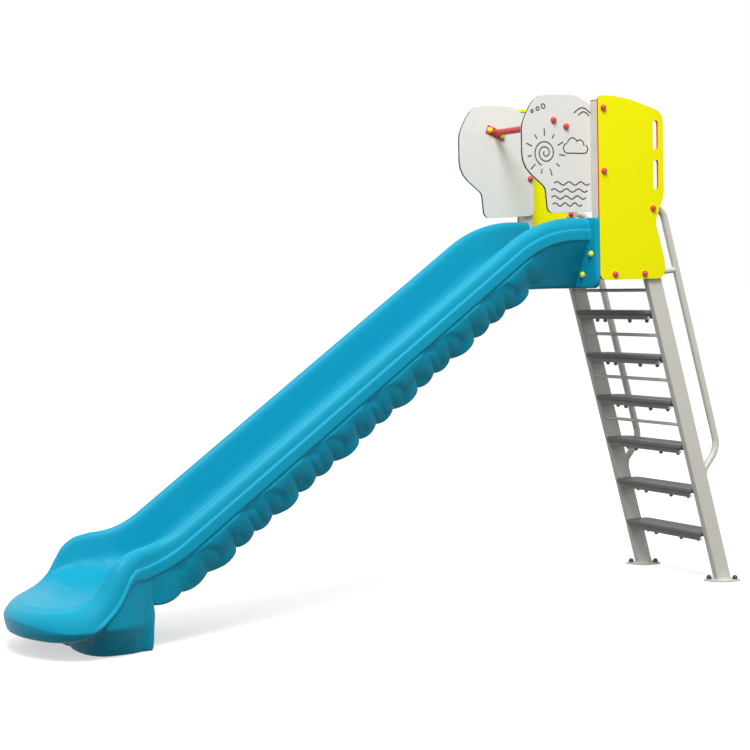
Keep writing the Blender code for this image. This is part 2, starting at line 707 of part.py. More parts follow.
def handrail(name, side):
    """A bent tube behind a stringer, with a bolted tab at its top and a stay at platform height."""
    y = side * HANDRAIL_Y

    def on_line(z):
        return Vector((HANDRAIL_LINE_X - math.tan(LEAN) * z, y, z))

    start = Vector((HANDRAIL_TAB_X + TAB_BACK / 4, y, HANDRAIL_TOP))
    upper = on_line(HANDRAIL_TOP)
    lower = on_line(HANDRAIL_LOW_CORNER_Z)
    end = Vector((stringer_back(HANDRAIL_END_Z) - HANDRAIL_BITE, y, HANDRAIL_END_Z - HANDRAIL_END_DROP))
    points = [start, *bend(start, upper, lower, HANDRAIL_TOP_BEND),
              *bend(upper, lower, end, HANDRAIL_LOW_BEND), end]
    made = tube_along(name, points, HANDRAIL_RADIUS, grey_paint())
    stay = rod(f"{name}_stay", (stringer_back(STAY_Z) - HANDRAIL_BITE, y, STAY_Z),
               on_line(STAY_Z + STAY_RISE), STAY_RADIUS, grey_paint())
    combine(made, stay, "UNION")
    half = TAB_HALF
    narrow = half - 0.004
    corners = [(HANDRAIL_TAB_X - half, HANDRAIL_TOP - half, half - 0.002),
               (HANDRAIL_TAB_X + TAB_BACK, HANDRAIL_TOP - narrow, 0.004),
               (HANDRAIL_TAB_X + TAB_BACK, HANDRAIL_TOP + narrow, 0.004),
               (HANDRAIL_TAB_X - half, HANDRAIL_TOP + half, half - 0.002)]
    faces = sorted((side * (TAB_INNER - TAB_PLAY), side * (FRAME_HALF_WIDTH - GAP)))
    tab = plate(f"{name}_tab", rounded_outline(corners, math.radians(30)), faces[0], faces[1],
                grey_paint())
    combine(made, tab, "UNION")
    flat = side_block(f"{name}_flat", side, (HANDRAIL_TAB_X - 2 * half, 0.280, HANDRAIL_TOP - 2 * half),
                      (HANDRAIL_TAB_X + half, TAB_INNER, HANDRAIL_TOP + 2 * half), grey_paint())
    combine(made, flat, "DIFFERENCE")
    drill(made, (HANDRAIL_TAB_X, faces[0] - 0.01, HANDRAIL_TOP),
          (HANDRAIL_TAB_X, faces[1] + 0.01, HANDRAIL_TOP))
    post_line = plate(f"{name}_cope", [Vector((stringer_front(z) - 0.05, z)) for z in (0.4, 1.6)]
                      + [Vector((stringer_back(z) + GAP, z)) for z in (1.6, 0.4)],
                      min(side * 0.25, side * 0.36), max(side * 0.25, side * 0.36), grey_paint())
    combine(made, post_line, "DIFFERENCE")
    return made


def domed_bolt(name, start, direction, grip, finish, back="dome"):
    """A bolt with a domed plastic cap, a shank across the grip and a cap or nut behind."""
    dome = [(0, -DOME_HEIGHT), (DOME_RADIUS * 0.55, -DOME_HEIGHT * 0.86),
            (DOME_RADIUS * 0.92, -DOME_HEIGHT * 0.50), (DOME_RADIUS, -GAP)]
    tail = grip + GAP
    if back == "dome":
        end = [(DOME_RADIUS, tail), (DOME_RADIUS * 0.92, grip + DOME_HEIGHT * 0.50),
               (DOME_RADIUS * 0.55, grip + DOME_HEIGHT * 0.86), (0, grip + DOME_HEIGHT)]
    else:
        end = [(NUT_RADIUS, tail), (NUT_RADIUS, grip + NUT_HEIGHT), (0, grip + NUT_HEIGHT)]
    profile = dome + [(BOLT_RADIUS, -GAP), (BOLT_RADIUS, tail)] + end
    return turned(name, profile, start, direction, finish)


def build_bolts():
    outer = FRAME_HALF_WIDTH + GAP + PANEL_THICK
    inner = FRAME_HALF_WIDTH - POST_SIDE - GAP - PANEL_THICK
    for label, side in (("near", -1.0), ("far", 1.0)):
        inward = (0, -side, 0)
        for place, z in zip(("low", "high"), POST_BOLTS_Z):
            domed_bolt(f"post_bolt_{label}_{place}", (POST_BOLTS_X, side * outer, z), inward,
                       outer - inner, red_paint())
        for place, x in zip(("front", "rear"), RAIL_BOLTS_X):
            domed_bolt(f"rail_bolt_{label}_{place}", (x, side * outer, RAIL_BOLT_Z), inward,
                       outer - (FRAME_HALF_WIDTH - RAIL_WIDTH), red_paint(), "nut")
        domed_bolt(f"handrail_bolt_{label}", (HANDRAIL_TAB_X, side * outer, HANDRAIL_TOP), inward,
                   outer - TAB_INNER, red_paint())
        face = FRAME_HALF_WIDTH - POST_SIDE - GAP
        grip = face - bar_plate_reach() + BAR_PLATE[2]
        for place, (x, z) in zip(("front", "rear"), bar_bolt_places()):
            domed_bolt(f"bar_bolt_{label}_{place}", (x, side * face, z), inward, grip, red_paint())
        for place, (y, z), deep in zip(("high", "low"), FLANGE_BOLTS, (POST_SIDE, RAIL_WIDTH)):
            domed_bolt(f"chute_bolt_{label}_{place}", (-FLANGE_THICK - GAP, side * y, z), (1, 0, 0),
                       FLANGE_THICK + GAP + deep, yellow_cap(), "nut")


def crown_at(distance):
    """Place and heading of the rim's crown, in X and Z, after a distance from the flange."""
    x = -FLANGE_THICK
    z = CROWN_Z
    heading = 0.0
    legs = ((CROWN_LEVEL, 0.0), (CROWN_BEND * SLOPE, SLOPE), (SLOPE_LENGTH, 0.0),
            (RUNOUT_BEND * (SLOPE - RUNOUT_SLOPE), RUNOUT_SLOPE - SLOPE))
    for length, turn in legs:
        part = max(0.0, min(1.0, distance / length))
        run = length * part
        if turn:
            radius = length / turn
            x -= radius * (math.sin(heading + turn * part) - math.sin(heading))
            z -= radius * (math.cos(heading) - math.cos(heading + turn * part))
        else:
            x -= run * math.cos(heading)
            z -= run * math.sin(heading)
        heading += turn * part
        distance -= run
        if part < 1.0:
            break
    return Vector((x, z)), heading


def eased(value, first, last):
    """Nought up to the first value, one from the last, and an even S curve between."""
    share = max(0.0, min(1.0, (value - first) / (last - first)))
    return share * share * (3 - 2 * share)


def slope_start():
    return CROWN_LEVEL + CROWN_BEND * SLOPE


def runout_end():
    return slope_start() + SLOPE_LENGTH + RUNOUT_BEND * (SLOPE - RUNOUT_SLOPE)


def section_stations():
    """Distances along the crown of every section, each with how far its skirt lobe bulges."""
    first = slope_start() + LOBE_START
    stations = [(first * step / ENTRY_STEPS, 0.0) for step in range(ENTRY_STEPS)]
    place = first
    for lobe in range(LOBE_COUNT):
        length = LOBES[lobe % len(LOBES)] if lobe < LOBE_COUNT - 2 else RUNOUT_LOBE
        skew = LOBE_SKEWS[lobe % len(LOBES)]
        for step in range(LOBE_STEPS):
            bulge = SCALLOP * length * math.sin(math.pi * (step / LOBE_STEPS) ** skew) ** 0.7
            stations.append((place + length * step / LOBE_STEPS, bulge))
        place += length
    stations.append((place, 0.0))
    return stations


def skirt_low_at(distance, bulge):
    """The skirt's lower edge: level under the entrance, scalloped along the slope."""
    crown, heading = crown_at(distance)
    down = Vector((math.sin(heading), -math.cos(heading)))
    start = slope_start()
    width, depth = SKIRT_LOW
    if distance < start:
        share = distance / start
        edge = crown_at(start)[0] + Vector((math.sin(SLOPE), -math.cos(SLOPE))) * depth
        x = -FLANGE_THICK + (edge.x + FLANGE_THICK) * share
        return Vector((x, ENTRY_SKIRT_Y + (width - ENTRY_SKIRT_Y) * share, ENTRY_BOTTOM))
    place = crown + down * (depth + bulge)
    return Vector((place.x, width + bulge * 0.3, place.y))


def relief(distance, down):
    """How far the skirt stands out, by distance along the crown and down from the band."""
    period = sum(LOBES)
    along = (distance - slope_start() - LOBE_START) % period
    start, lean = WEB_LINE
    if along > period + start + lean * down:
        along -= period
    arch_along, arch_down, arch_radius = ARCH
    if along < arch_along and math.hypot(along - arch_along, down - arch_down) > arch_radius:
        top, middle = WEB_HEIGHTS
        return top + (middle - top) * math.sin(math.pi * min(1.0, down / arch_down))
    swell = 0.0
    for dome_along, dome_down, radius, height in DOMES:
        reach = math.hypot(along - dome_along, down - dome_down) / radius
        swell = max(swell, height * math.sqrt(max(0.0, 1.0 - reach * reach)))
    return swell


def lower_points(skirt_top, low, distance=None):
    """Skirt, lower edge and underside of one half section, in relief where a distance is given."""
    points = []
    height = math.hypot(SKIRT_TOP[0] - SKIRT_LOW[0], SKIRT_TOP[1] - SKIRT_LOW[1])
    for share in SKIRT_SHARES:
        point = skirt_top.lerp(low, share)
        if distance is not None:
            point.y += relief(distance, share * height)
        points.append(point)
    points.append(low)
    points.append(Vector((low.x, low.y * 0.5, low.z)))
    points.append(Vector((low.x, 0.0, low.z)))
    return points


def section_at(distance, bulge, foot=None):
    """Half of a section through the chute, from the floor's middle round to the underside's."""
    crown, heading = crown_at(distance)
    down = Vector((math.sin(heading), -math.cos(heading)))
    arrived = eased(distance, slope_start() + SLOPE_LENGTH, runout_end())
    sink = RUNOUT_SINK * arrived
    bead = CROWN_PROFILE[-1][1]

    def place(y, depth):
        spot = crown + down * depth
        return Vector((spot.x, y, spot.y))

    points = [place(y, share * (CHANNEL_DEPTH - RUNOUT_LIFT * arrived)) for y, share in INNER_PROFILE]
    points += [place(y, depth * (1 + sink / bead)) for y, depth in CROWN_PROFILE]
    points.append(place(BAND_LOW[0], BAND_LOW[1] + sink))
    top = place(SKIRT_TOP[0], SKIRT_TOP[1] + sink)
    points.append(top)
    if foot:
        return points + lower_points(top, foot)
    relieved = distance if distance >= slope_start() else None
    return points + lower_points(top, skirt_low_at(distance, bulge), relieved)


def flared(point):
    """Move a point out to where the run-out's flare puts it."""
    share = eased(point.x, *FLARE_X) * min(1.0, point.z / FLARE_FULL_Z)
    return Vector((point.x, point.y * (1 + FLARE * share), point.z))


def on_outline(travel, radius):
    """A point on a lip outline of a given half width, after a distance past the straight part."""
    if travel < 0:
        return EXIT_X - travel, radius
    angle = travel / radius
    return EXIT_X - radius * EXIT_STRETCH * math.sin(angle), radius * math.cos(angle)


def exit_section(row):
    """Half of a section through the exit, fanned round the lip."""
    crown_go, crown_z, bead_go, bead_z, band, foot_x, foot_y = row
    points = []
    turn = max(0.0, crown_go) / CROWN_Y
    tuck = LIP_TUCK * eased(bead_go, 0.110, 0.310)
    start = EXIT_ROWS[0][0]
    floor = EXIT_FLOOR[0] + (EXIT_FLOOR[1] - EXIT_FLOOR[0]) * eased(crown_go, start, 0.0)
    steep = max(0.0, min(1.0, (crown_z - floor) / EXIT_WALL))
    for y, share in INNER_PROFILE:
        rise = steep * (1 - share) + (1 - steep) * (y / CROWN_Y) ** 2
        x, y = on_outline(turn * y if turn else crown_go, max(y, 0.000001))
        points.append(Vector((x, y, floor + (crown_z - floor) * rise)))
    reach = CROWN_PROFILE[-1][1]
    for y, depth in CROWN_PROFILE:
        share = depth / reach
        side = (y - CROWN_Y) / (BEAD_Y - CROWN_Y)
        go = crown_go + (bead_go - crown_go) * side
        drawn_in = y - tuck * side / 2
        x, y = on_outline(go * drawn_in / y if go > 0 else go, drawn_in)
        points.append(Vector((x, y, crown_z + (bead_z - crown_z) * share)))
    turn = max(0.0, bead_go) / BEAD_Y
    low_z = bead_z - band

    def ring(radius, z):
        x, y = on_outline(turn * radius if turn else bead_go, radius)
        return Vector((x, y, z))

    sunk = max(0.0, min(1.0, (0.156 - low_z) / 0.055))
    points.append(ring(BEAD_Y * 0.998 - tuck, low_z))
    top = ring(SKIRT_TOP[0] - 0.020 * sunk - tuck, low_z - 0.004 - 0.010 * sunk)
    low = Vector((foot_x, foot_y, 0.0))
    wall = lower_points(top, low)
    under = ring(LIP_UNDER_Y, LIP_UNDER_Z)
    shoulder = Vector((low.x - FOOT_SHOULDER[0], low.y, FOOT_SHOULDER[1]))
    for index, place in enumerate((under, under.lerp(shoulder, 0.5), shoulder)):
        wall[index] = wall[index].lerp(place, sunk)
    wall[-1].x = max(low.x, EXIT_X)
    wall[-2] = low.lerp(wall[-1], 0.5)
    return points + [top] + wall


def smooth_rows(rows, steps):
    """Rows of numbers with more rows between them, on smooth curves."""
    result = []
    last = len(rows) - 1
    for index in range(last):
        before = rows[max(index - 1, 0)]
        after = rows[min(index + 2, last)]
        for step in range(steps):
            t = step / steps
            row = []
            for a, b, c, d in zip(before, rows[index], rows[index + 1], after):
                row.append(b + 0.5 * t * (c - a + t * (2 * a - 5 * b + 4 * c - d
                                                       + t * (3 * (b - c) + d - a))))
            result.append(row)
    result.append(list(rows[last]))
    return result


def flange_outline():
    """Outer half of the flange, from beside the crown down and round to the middle below."""
    top = CROWN_Z
    half = FLANGE_HALF
    low = FLANGE_BOTTOM
    big = FLANGE_LOW_RADIUS
    small = FLANGE_TOP_RADIUS
    lean = math.sin(math.radians(45))
    step = FLANGE_STEP
    return [(half - small, top), (half - small + small * lean, top - small + small * lean),
            (half, top - small), (half, top - 1.5 * step), (half, low + big + step),
            (half, low + big + step / 3), (half, low + big),
            (half - big * (1 - lean), low + big * (1 - lean)), (half - big, low),
            (half - big - step, low), (0.0, low)]


def flange_section(x):
    """Half of a section through the flange: the channel's profile and the plate's outline."""
    points = [Vector((x, y, CROWN_Z - share * CHANNEL_DEPTH)) for y, share in INNER_PROFILE]
    points.append(Vector((x, CROWN_Y, CROWN_Z)))
    return points + [Vector((x, y, z)) for y, z in flange_outline()]


def chute_sections():
    """Every half section from the flange's back face to the tip of the lip."""
    sections = [flange_section(-GAP), flange_section(-FLANGE_THICK)]
    stations = section_stations()
    sections += [section_at(distance, phase) for distance, phase in stations]
    for share, foot_x, foot_z in FOOT_BACK:
        distance = stations[-1][0] + (runout_end() - stations[-1][0]) * share
        sections.append(section_at(distance, 0.0, Vector((foot_x, FOOT_HALF, foot_z))))
    sections += [exit_section(row) for row in smooth_rows(EXIT_ROWS, EXIT_STEPS)]
    for point in sections[-1]:
        point.y = 0.0
    return [[flared(point) for point in section] for section in sections]


def build_chute():
    """Loft the half sections, mirror them and close the flange's back."""
    shape = bmesh.new()
    rows = [[shape.verts.new(point) for point in section] for section in chute_sections()]
    for first, second in zip(rows, rows[1:]):
        for index in range(len(first) - 1):
            shape.faces.new((first[index], second[index], second[index + 1], first[index + 1]))
    bmesh.ops.remove_doubles(shape, verts=shape.verts, dist=0.00002)
    bmesh.ops.mirror(shape, geom=shape.verts[:] + shape.edges[:] + shape.faces[:], axis="Y",
                     merge_dist=0.00002)
    bmesh.ops.dissolve_degenerate(shape, edges=shape.edges, dist=0.00002)
    rim = [edge for edge in shape.edges if edge.is_boundary]
    bmesh.ops.holes_fill(shape, edges=rim, sides=0)
    made = smooth(add_object("chute", mesh_from(shape, "chute"), blue_moulding()), 50.0)
    for bolt_y, bolt_z in FLANGE_BOLTS:
        for side in (-1.0, 1.0):
            drill(made, (-FLANGE_THICK - 0.012, side * bolt_y, bolt_z), (0.01, side * bolt_y, bolt_z))
    return made


def hang_from_origin():
    """Parent everything to an empty that centres the footprint on the world origin."""
    tip = EXIT_X - (BEAD_Y - LIP_TUCK / 2) * EXIT_STRETCH
    back = base_point(1.0, BASE_TIP - BASE_TIP_RADIUS / math.sin(math.atan(BASE_SIDE / BASE_TIP)))[0]
    back += BASE_TIP_RADIUS
    origin = bpy.data.objects.new("slide_origin", None)
    bpy.context.scene.collection.objects.link(origin)
    origin.location = (-(tip + back) / 2, 0, 0)
    for item in list(bpy.data.objects):
        if item is not origin:
            item.parent = origin


def main():
    clear_scene()
    build_chute()
    build_base()
    build_stringers()
    build_treads()
    build_rods()
    both_sides("post", post)
    both_sides("post_cap", post_cap)
    build_platform()
    build_panels()
    build_safety_bar()
    both_sides("handrail", handrail)
    build_bolts()
    hang_from_origin()


main()
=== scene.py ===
"""Looks of a playground slide: moulded chute, steel ladder tower, sheet panels and bolt caps.

Everything is in metres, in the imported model's frame: +X runs from the chute's exit to the
ladder, -Y is the side nearest the camera and the ground is Z = 0. Sizes with a tower X are
measured from the front face of the posts.
"""
import logging
import math
from dataclasses import dataclass, field
from enum import Enum
from typing import Any, Callable, Iterable, Sequence

import bmesh
import bpy
from mathutils import Matrix, Vector
from mathutils.geometry import interpolate_bezier


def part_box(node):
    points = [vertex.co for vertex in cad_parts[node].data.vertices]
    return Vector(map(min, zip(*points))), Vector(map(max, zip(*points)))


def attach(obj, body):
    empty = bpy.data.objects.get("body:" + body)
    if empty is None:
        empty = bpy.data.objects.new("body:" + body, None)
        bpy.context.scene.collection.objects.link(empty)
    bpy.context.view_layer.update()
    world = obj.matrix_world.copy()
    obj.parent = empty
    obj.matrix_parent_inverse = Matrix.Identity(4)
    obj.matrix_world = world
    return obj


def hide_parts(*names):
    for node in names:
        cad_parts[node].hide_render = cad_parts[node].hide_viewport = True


LOG = logging.getLogger("slide")
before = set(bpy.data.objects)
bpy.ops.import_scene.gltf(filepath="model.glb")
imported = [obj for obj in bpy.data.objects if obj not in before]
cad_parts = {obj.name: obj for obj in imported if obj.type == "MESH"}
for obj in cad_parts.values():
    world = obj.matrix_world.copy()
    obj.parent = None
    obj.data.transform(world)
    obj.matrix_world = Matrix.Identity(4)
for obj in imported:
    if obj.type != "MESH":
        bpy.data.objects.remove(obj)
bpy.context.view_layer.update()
TOWER_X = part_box("post_near")[0].x
BODY = "root"

# Faces above this many square metres are shaded flat. On sheets, boards, trays, rails and the
# safety bar, edges above these degrees stay sharp.
FLAT_FACE = 0.0015
SHARP = 40.0

# Points closer than these are one: in copied and lofted shapes, across the mirror plane, on
# tubes and bars, and on turned shapes
MERGE = 0.00002
MIRROR_MERGE = 0.00005
TUBE_MERGE = 0.00001
SPUN_MERGE = 0.000005

# Corners closer than this along an axis are level with each other there, and faces that meet at
# less than this angle are one
LEVEL = 0.000001
COPLANAR = math.radians(0.4)
UP = Vector((0.0, 0.0, 1.0))


class Side(Enum):
    """The two sides of the slide, with the sign of their Y."""

    NEAR = -1.0
    FAR = 1.0

    @property
    def label(self) -> str:
        """The word that ends a node's name on this side."""
        return self.name.lower()


class Signal:
    """A shader value that adds Math nodes when it is used in an expression."""

    def __init__(self, graph: "Graph", socket: bpy.types.NodeSocket) -> None:
        """Wrap a socket.

        Args:
            graph: The material that the socket belongs to.
            socket: An output socket.
        """
        self.graph = graph
        self.socket = socket

    def math(self, operation: str, *others: Any) -> "Signal":
        """Put this value and others through one Math node.

        Args:
            operation: The Math node's operation.
            others: The values that follow this one.

        Returns:
            The node's result.
        """
        inputs = dict(enumerate((self, *others)))
        return self.graph.add("ShaderNodeMath", inputs, operation=operation)

    def __add__(self, other: Any) -> "Signal":
        """This value plus another."""
        return self.math("ADD", other)

    def __mul__(self, other: Any) -> "Signal":
        """This value times another."""
        return self.math("MULTIPLY", other)

    def __sub__(self, other: Any) -> "Signal":
        """This value less another."""
        return self.math("SUBTRACT", other)

    def __rsub__(self, other: float) -> "Signal":
        """A number less this value."""
        return self.math("MULTIPLY", -1.0).math("ADD", other)

    def __gt__(self, other: Any) -> "Signal":
        """One where this value is the greater, and otherwise nought."""
        return self.math("GREATER_THAN", other)

    def __lt__(self, other: Any) -> "Signal":
        """One where this value is the smaller, and otherwise nought."""
        return self.math("LESS_THAN", other)

    def __abs__(self) -> "Signal":
        """This value without its sign."""
        return self.math("ABSOLUTE")

    __radd__ = __add__
    __rmul__ = __mul__


class Graph:
    """A node tree that is filled through a few short calls."""

    def __init__(self, owner: bpy.types.Material | bpy.types.World) -> None:
        """Open the node tree of a material or a world.

        Args:
            owner: What the nodes belong to.
        """
        owner.use_nodes = True
        self.tree = owner.node_tree
        self.shader = self.tree.nodes.get("Principled BSDF")

    def add(self, kind: str, inputs: dict | None = None, output: str | int = 0,
            **settings: Any) -> Signal:
        """Add any node.

        Args:
            kind: The node's type.
            inputs: Values or signals by input name or number.
            output: The output to hand back.
            settings: The node's own settings, such as an operation, which are set first.

        Returns:
            The chosen output.
        """
        node = self.tree.nodes.new(kind)
        for name, value in settings.items():
            setattr(node, name, value)
        for name, value in (inputs or {}).items():
            self.feed(node.inputs[name], value)
        return Signal(self, node.outputs[output])

    def feed(self, socket: bpy.types.NodeSocket, value: Any) -> None:
        """Link a signal to an input, or set a plain value on it."""
        if isinstance(value, Signal):
            self.tree.links.new(value.socket, socket)
        elif hasattr(value, "__len__") and len(value) == 3 and socket.type == "RGBA":
            socket.default_value = (*value, 1.0)
        else:
            socket.default_value = value

    def surface(self, **inputs: Any) -> None:
        """Set inputs of the Principled shader, with underscores for spaces."""
        for name, value in inputs.items():
            self.feed(self.shader.inputs[name.replace("_", " ")], value)

    def place(self) -> Signal:
        """Object coordinates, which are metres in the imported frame."""
        return self.add("ShaderNodeTexCoord", output="Object")

    def noise(self, scale: float, detail: float = 2.0, roughness: float = 0.5,
              stretch: Sequence[float] = (1.0, 1.0, 1.0)) -> Signal:
        """Noise from nought to one.

        Args:
            scale: Blobs to a metre.
            detail: Octaves.
            roughness: Weight of the finer octaves.
            stretch: How much finer the pattern is along each axis.

        Returns:
            The noise value.
        """
        place = self.add("ShaderNodeMapping", {"Vector": self.place(), "Scale": stretch})
        return self.add("ShaderNodeTexNoise", {"Vector": place, "Scale": scale, "Detail": detail,
                                               "Roughness": roughness})

    def axis(self, letter: str) -> Signal:
        """One object coordinate, by its letter."""
        return self.add("ShaderNodeSeparateXYZ", {0: self.place()}, output=letter)

    def blend(self, share: Any, first: Any, second: Any) -> Signal:
        """Mix two colours.

        Args:
            share: How much of the second colour shows.
            first: The colour where the share is nought.
            second: The colour where the share is one.

        Returns:
            The mixed colour.
        """
        return self.add("ShaderNodeMix", {0: share, 6: first, 7: second}, output=2,
                        data_type="RGBA")

    def mottled(self, share: Signal, colour: Sequence[float], dark: float,
                light: float) -> Signal:
        """A colour that comes and goes between two shades of itself.

        Args:
            share: How much of the lighter shade shows.
            colour: The colour.
            dark: The darker shade's factor.
            light: The lighter shade's factor.

        Returns:
            The mixed colour.
        """
        return self.blend(share, shade(colour, dark), shade(colour, light))

    def seen(self) -> Signal:
        """One on rays from the camera or through gloss or glass, and otherwise nought."""
        found = self.add("ShaderNodeLightPath", output="Is Camera Ray")
        for ray in ("Is Glossy Ray", "Is Transmission Ray"):
            found = found.math("MAXIMUM", self.add("ShaderNodeLightPath", output=ray))
        return found

    def bump(self, height: Signal, depth: float, under: Signal | None = None) -> Signal:
        """Turn a height into a normal.

        Args:
            height: The height, from nought to one.
            depth: The height of one, in metres.
            under: A normal that this one lies on.

        Returns:
            The bumped normal.
        """
        inputs = {"Height": height, "Distance": depth, "Strength": 1.0}
        if under:
            inputs["Normal"] = under
        return self.add("ShaderNodeBump", inputs)


def srgb(red: float, green: float, blue: float) -> tuple[float, float, float]:
    """Turn a screen colour of 0 to 255 into a linear one.

    Args:
        red: Red as it shows on a screen.
        green: Green as it shows on a screen.
        blue: Blue as it shows on a screen.

    Returns:
        The linear colour.
    """
    def linear(value: float) -> float:
        """One channel of the colour made linear."""
        share = value / 255.0
        return share / 12.92 if share <= 0.04045 else ((share + 0.055) / 1.055) ** 2.4
    return linear(red), linear(green), linear(blue)


def shade(colour: Sequence[float], factor: float) -> tuple[float, ...]:
    """A colour made darker or lighter."""
    return tuple(min(1.0, part * factor) for part in colour)


@dataclass(frozen=True)
class Finish:
    """A finish that makes its material once, the first time that it is used."""

    name: str
    slot: str
    colour: tuple[float, float, float]

    def material(self) -> bpy.types.Material:
        """The material, made on first use."""
        found = bpy.data.materials.get(self.name)
        if found:
            return found
        made = bpy.data.materials.new(self.name)
        self.dress(Graph(made))
        return made

    def dress(self, graph: Graph) -> None:
        """Fill in the material's nodes."""
        graph.surface(Base_Color=self.colour)


@dataclass(frozen=True)
class MouldedPlastic(Finish):
    """Rotomoulded polyethylene: soft sheen, faint mottling and a fine orange peel."""

    roughness: float = 0.42
    peel: float = 0.00022
    mottle: float = 0.05
    speck_above: float = 0.74
    speck_share: float = 0.10
    speck_shade: float = 0.72
    wave_to_peel: float = 3.0
    specular: float = 0.13

    def dress(self, graph: Graph) -> None:
        """Fill in the material's nodes."""
        clouds = graph.noise(3.5, 3.0, 0.6)
        pores = graph.noise(420.0, 2.0)
        colour = graph.mottled(clouds, self.colour, 1.0 - self.mottle, 1.0 + self.mottle)
        speck = graph.noise(900.0, 1.0) > self.speck_above
        colour = graph.blend(speck * self.speck_share, colour,
                             shade(self.colour, self.speck_shade))
        rough = clouds * 0.07 + pores * 0.05 + (self.roughness - 0.06)
        waves = graph.bump(graph.noise(14.0, 2.0), self.peel * self.wave_to_peel)
        normal = graph.bump(pores, self.peel, waves)
        graph.surface(Base_Color=colour, Roughness=rough, Normal=normal,
                      Specular_IOR_Level=self.specular)


@dataclass(frozen=True)
class PowderCoat(Finish):
    """Powder coat on steel: an even pale film with a fine leathery texture."""

    roughness: float = 0.42
    grain: float = 0.00012

    def dress(self, graph: Graph) -> None:
        """Fill in the material's nodes."""
        dust = graph.noise(5.0, 4.0, 0.65)
        leather = graph.noise(650.0, 2.0)
        colour = graph.mottled(dust, self.colour, 0.955, 1.03)
        rough = dust * 0.08 + leather * 0.06 + (self.roughness - 0.07)
        graph.surface(Base_Color=colour, Roughness=rough, Metallic=0.0,
                      Normal=graph.bump(leather, self.grain), Coat_Weight=0.08,
                      Coat_Roughness=0.3)


@dataclass(frozen=True)
class SheetBoard(Finish):
    """Coextruded sheet: grained faces in one colour on a core of another."""

    core: tuple[float, float, float] = (0.5, 0.02, 0.02)
    middle: float = 0.3388
    half: float = 0.0075
    skin: float = 0.0022
    hide_depth: float = 0.00022
    specular: float = 0.1

    def dress(self, graph: Graph) -> None:
        """Fill in the material's nodes."""
        depth = abs(abs(graph.axis("Y")) - self.middle)
        inside = depth < (self.half - self.skin)
        clouds = graph.noise(6.0, 3.0, 0.6)
        hide = graph.noise(300.0, 3.0, 0.6)
        face = graph.mottled(clouds, self.colour, 0.97, 1.02)
        saw = graph.noise(120.0, 2.0, 0.5, (1.0, 9.0, 1.0))
        core = graph.mottled(saw, self.core, 0.85, 1.12)
        graph.surface(Base_Color=graph.blend(inside, face, core), Roughness=hide * 0.10 + 0.36,
                      Normal=graph.bump(hide, self.hide_depth), Specular_IOR_Level=self.specular)


@dataclass(frozen=True)
class GrainedBoard(Finish):
    """Dark non-slip board with a fine film grain and scuffs where feet go."""

    grain: float = 0.0004
    scuff_above: float = 0.63
    scuff_share: float = 0.35
    scuff_shade: float = 1.7

    def dress(self, graph: Graph) -> None:
        """Fill in the material's nodes."""
        clouds = graph.noise(9.0, 4.0, 0.7)
        grain = graph.add("ShaderNodeTexVoronoi", {"Vector": graph.place(), "Scale": 340.0},
                          output="Distance")
        scuff = graph.noise(60.0, 3.0, 0.7, (4.0, 0.6, 1.0))
        worn = (scuff > self.scuff_above) * clouds
        colour = graph.mottled(clouds, self.colour, 0.86, 1.16)
        colour = graph.blend(worn * self.scuff_share, colour,
                             shade(self.colour, self.scuff_shade))
        graph.surface(Base_Color=colour, Roughness=clouds * 0.12 + 0.50,
                      Normal=graph.bump(grain, self.grain))


@dataclass(frozen=True)
class MouldedCap(Finish):
    """Glossy injection moulded nylon for caps, nuts and plugs."""

    roughness: float = 0.26

    def dress(self, graph: Graph) -> None:
        """Fill in the material's nodes."""
        clouds = graph.noise(60.0, 2.0)
        colour = graph.mottled(clouds, self.colour, 0.93, 1.05)
        graph.surface(Base_Color=colour, Roughness=clouds * 0.10 + (self.roughness - 0.05),
                      Normal=graph.bump(graph.noise(500.0), 0.00008), Coat_Weight=0.2,
                      Coat_Roughness=0.15)


@dataclass(frozen=True)
class BareSteel(Finish):
    """Zinc plated fastener steel."""

    def dress(self, graph: Graph) -> None:
        """Fill in the material's nodes."""
        clouds = graph.noise(180.0, 3.0)
        graph.surface(Base_Color=graph.mottled(clouds, self.colour, 0.85, 1.0),
                      Metallic=1.0, Roughness=clouds * 0.2 + 0.24,
                      Normal=graph.bump(graph.noise(700.0), 0.00005))


BLUE = MouldedPlastic("blue_polyethylene", "blue_plastic", srgb(16, 153, 185))
STEEL = PowderCoat("warm_grey_powder_coat", "grey_steel", srgb(209, 206, 197))
# The trays are the frame's grey steel, painted darker to stand for the shade under the tread boards:
# painted shade
SHADED_TRAY = PowderCoat("dark_tray_paint", "grey_steel", srgb(118, 119, 113), 0.5)
RED_STEEL = PowderCoat("red_powder_coat", "red_steel", srgb(206, 54, 60), 0.38)
BOARD = GrainedBoard("dark_tread_board", "tread_board", srgb(92, 94, 92))
YELLOW_SHEET = SheetBoard("yellow_sheet", "yellow_board", srgb(246, 243, 0), srgb(222, 66, 40))
WHITE_SHEET = SheetBoard("white_sheet", "white_board", srgb(228, 227, 223), srgb(64, 62, 60), 0.2732)
RED_CAP = MouldedCap("red_nylon", "red_cap", srgb(212, 44, 54))
YELLOW_CAP = MouldedCap("yellow_nylon", "yellow_cap", srgb(232, 228, 10))
GROOVE = PowderCoat("milled_core", "white_board", srgb(58, 58, 58), 0.6)
BLACK_CAP = MouldedCap("black_nylon", "black_plastic", srgb(52, 53, 54), 0.36)
ZINC = BareSteel("zinc_plate", "grey_steel", srgb(190, 190, 188))


def put(name: str, data: bpy.types.ID) -> bpy.types.Object:
    """A new object in the scene, made of a mesh, a light or a camera."""
    made = bpy.data.objects.new(name, data)
    bpy.context.scene.collection.objects.link(made)
    return made


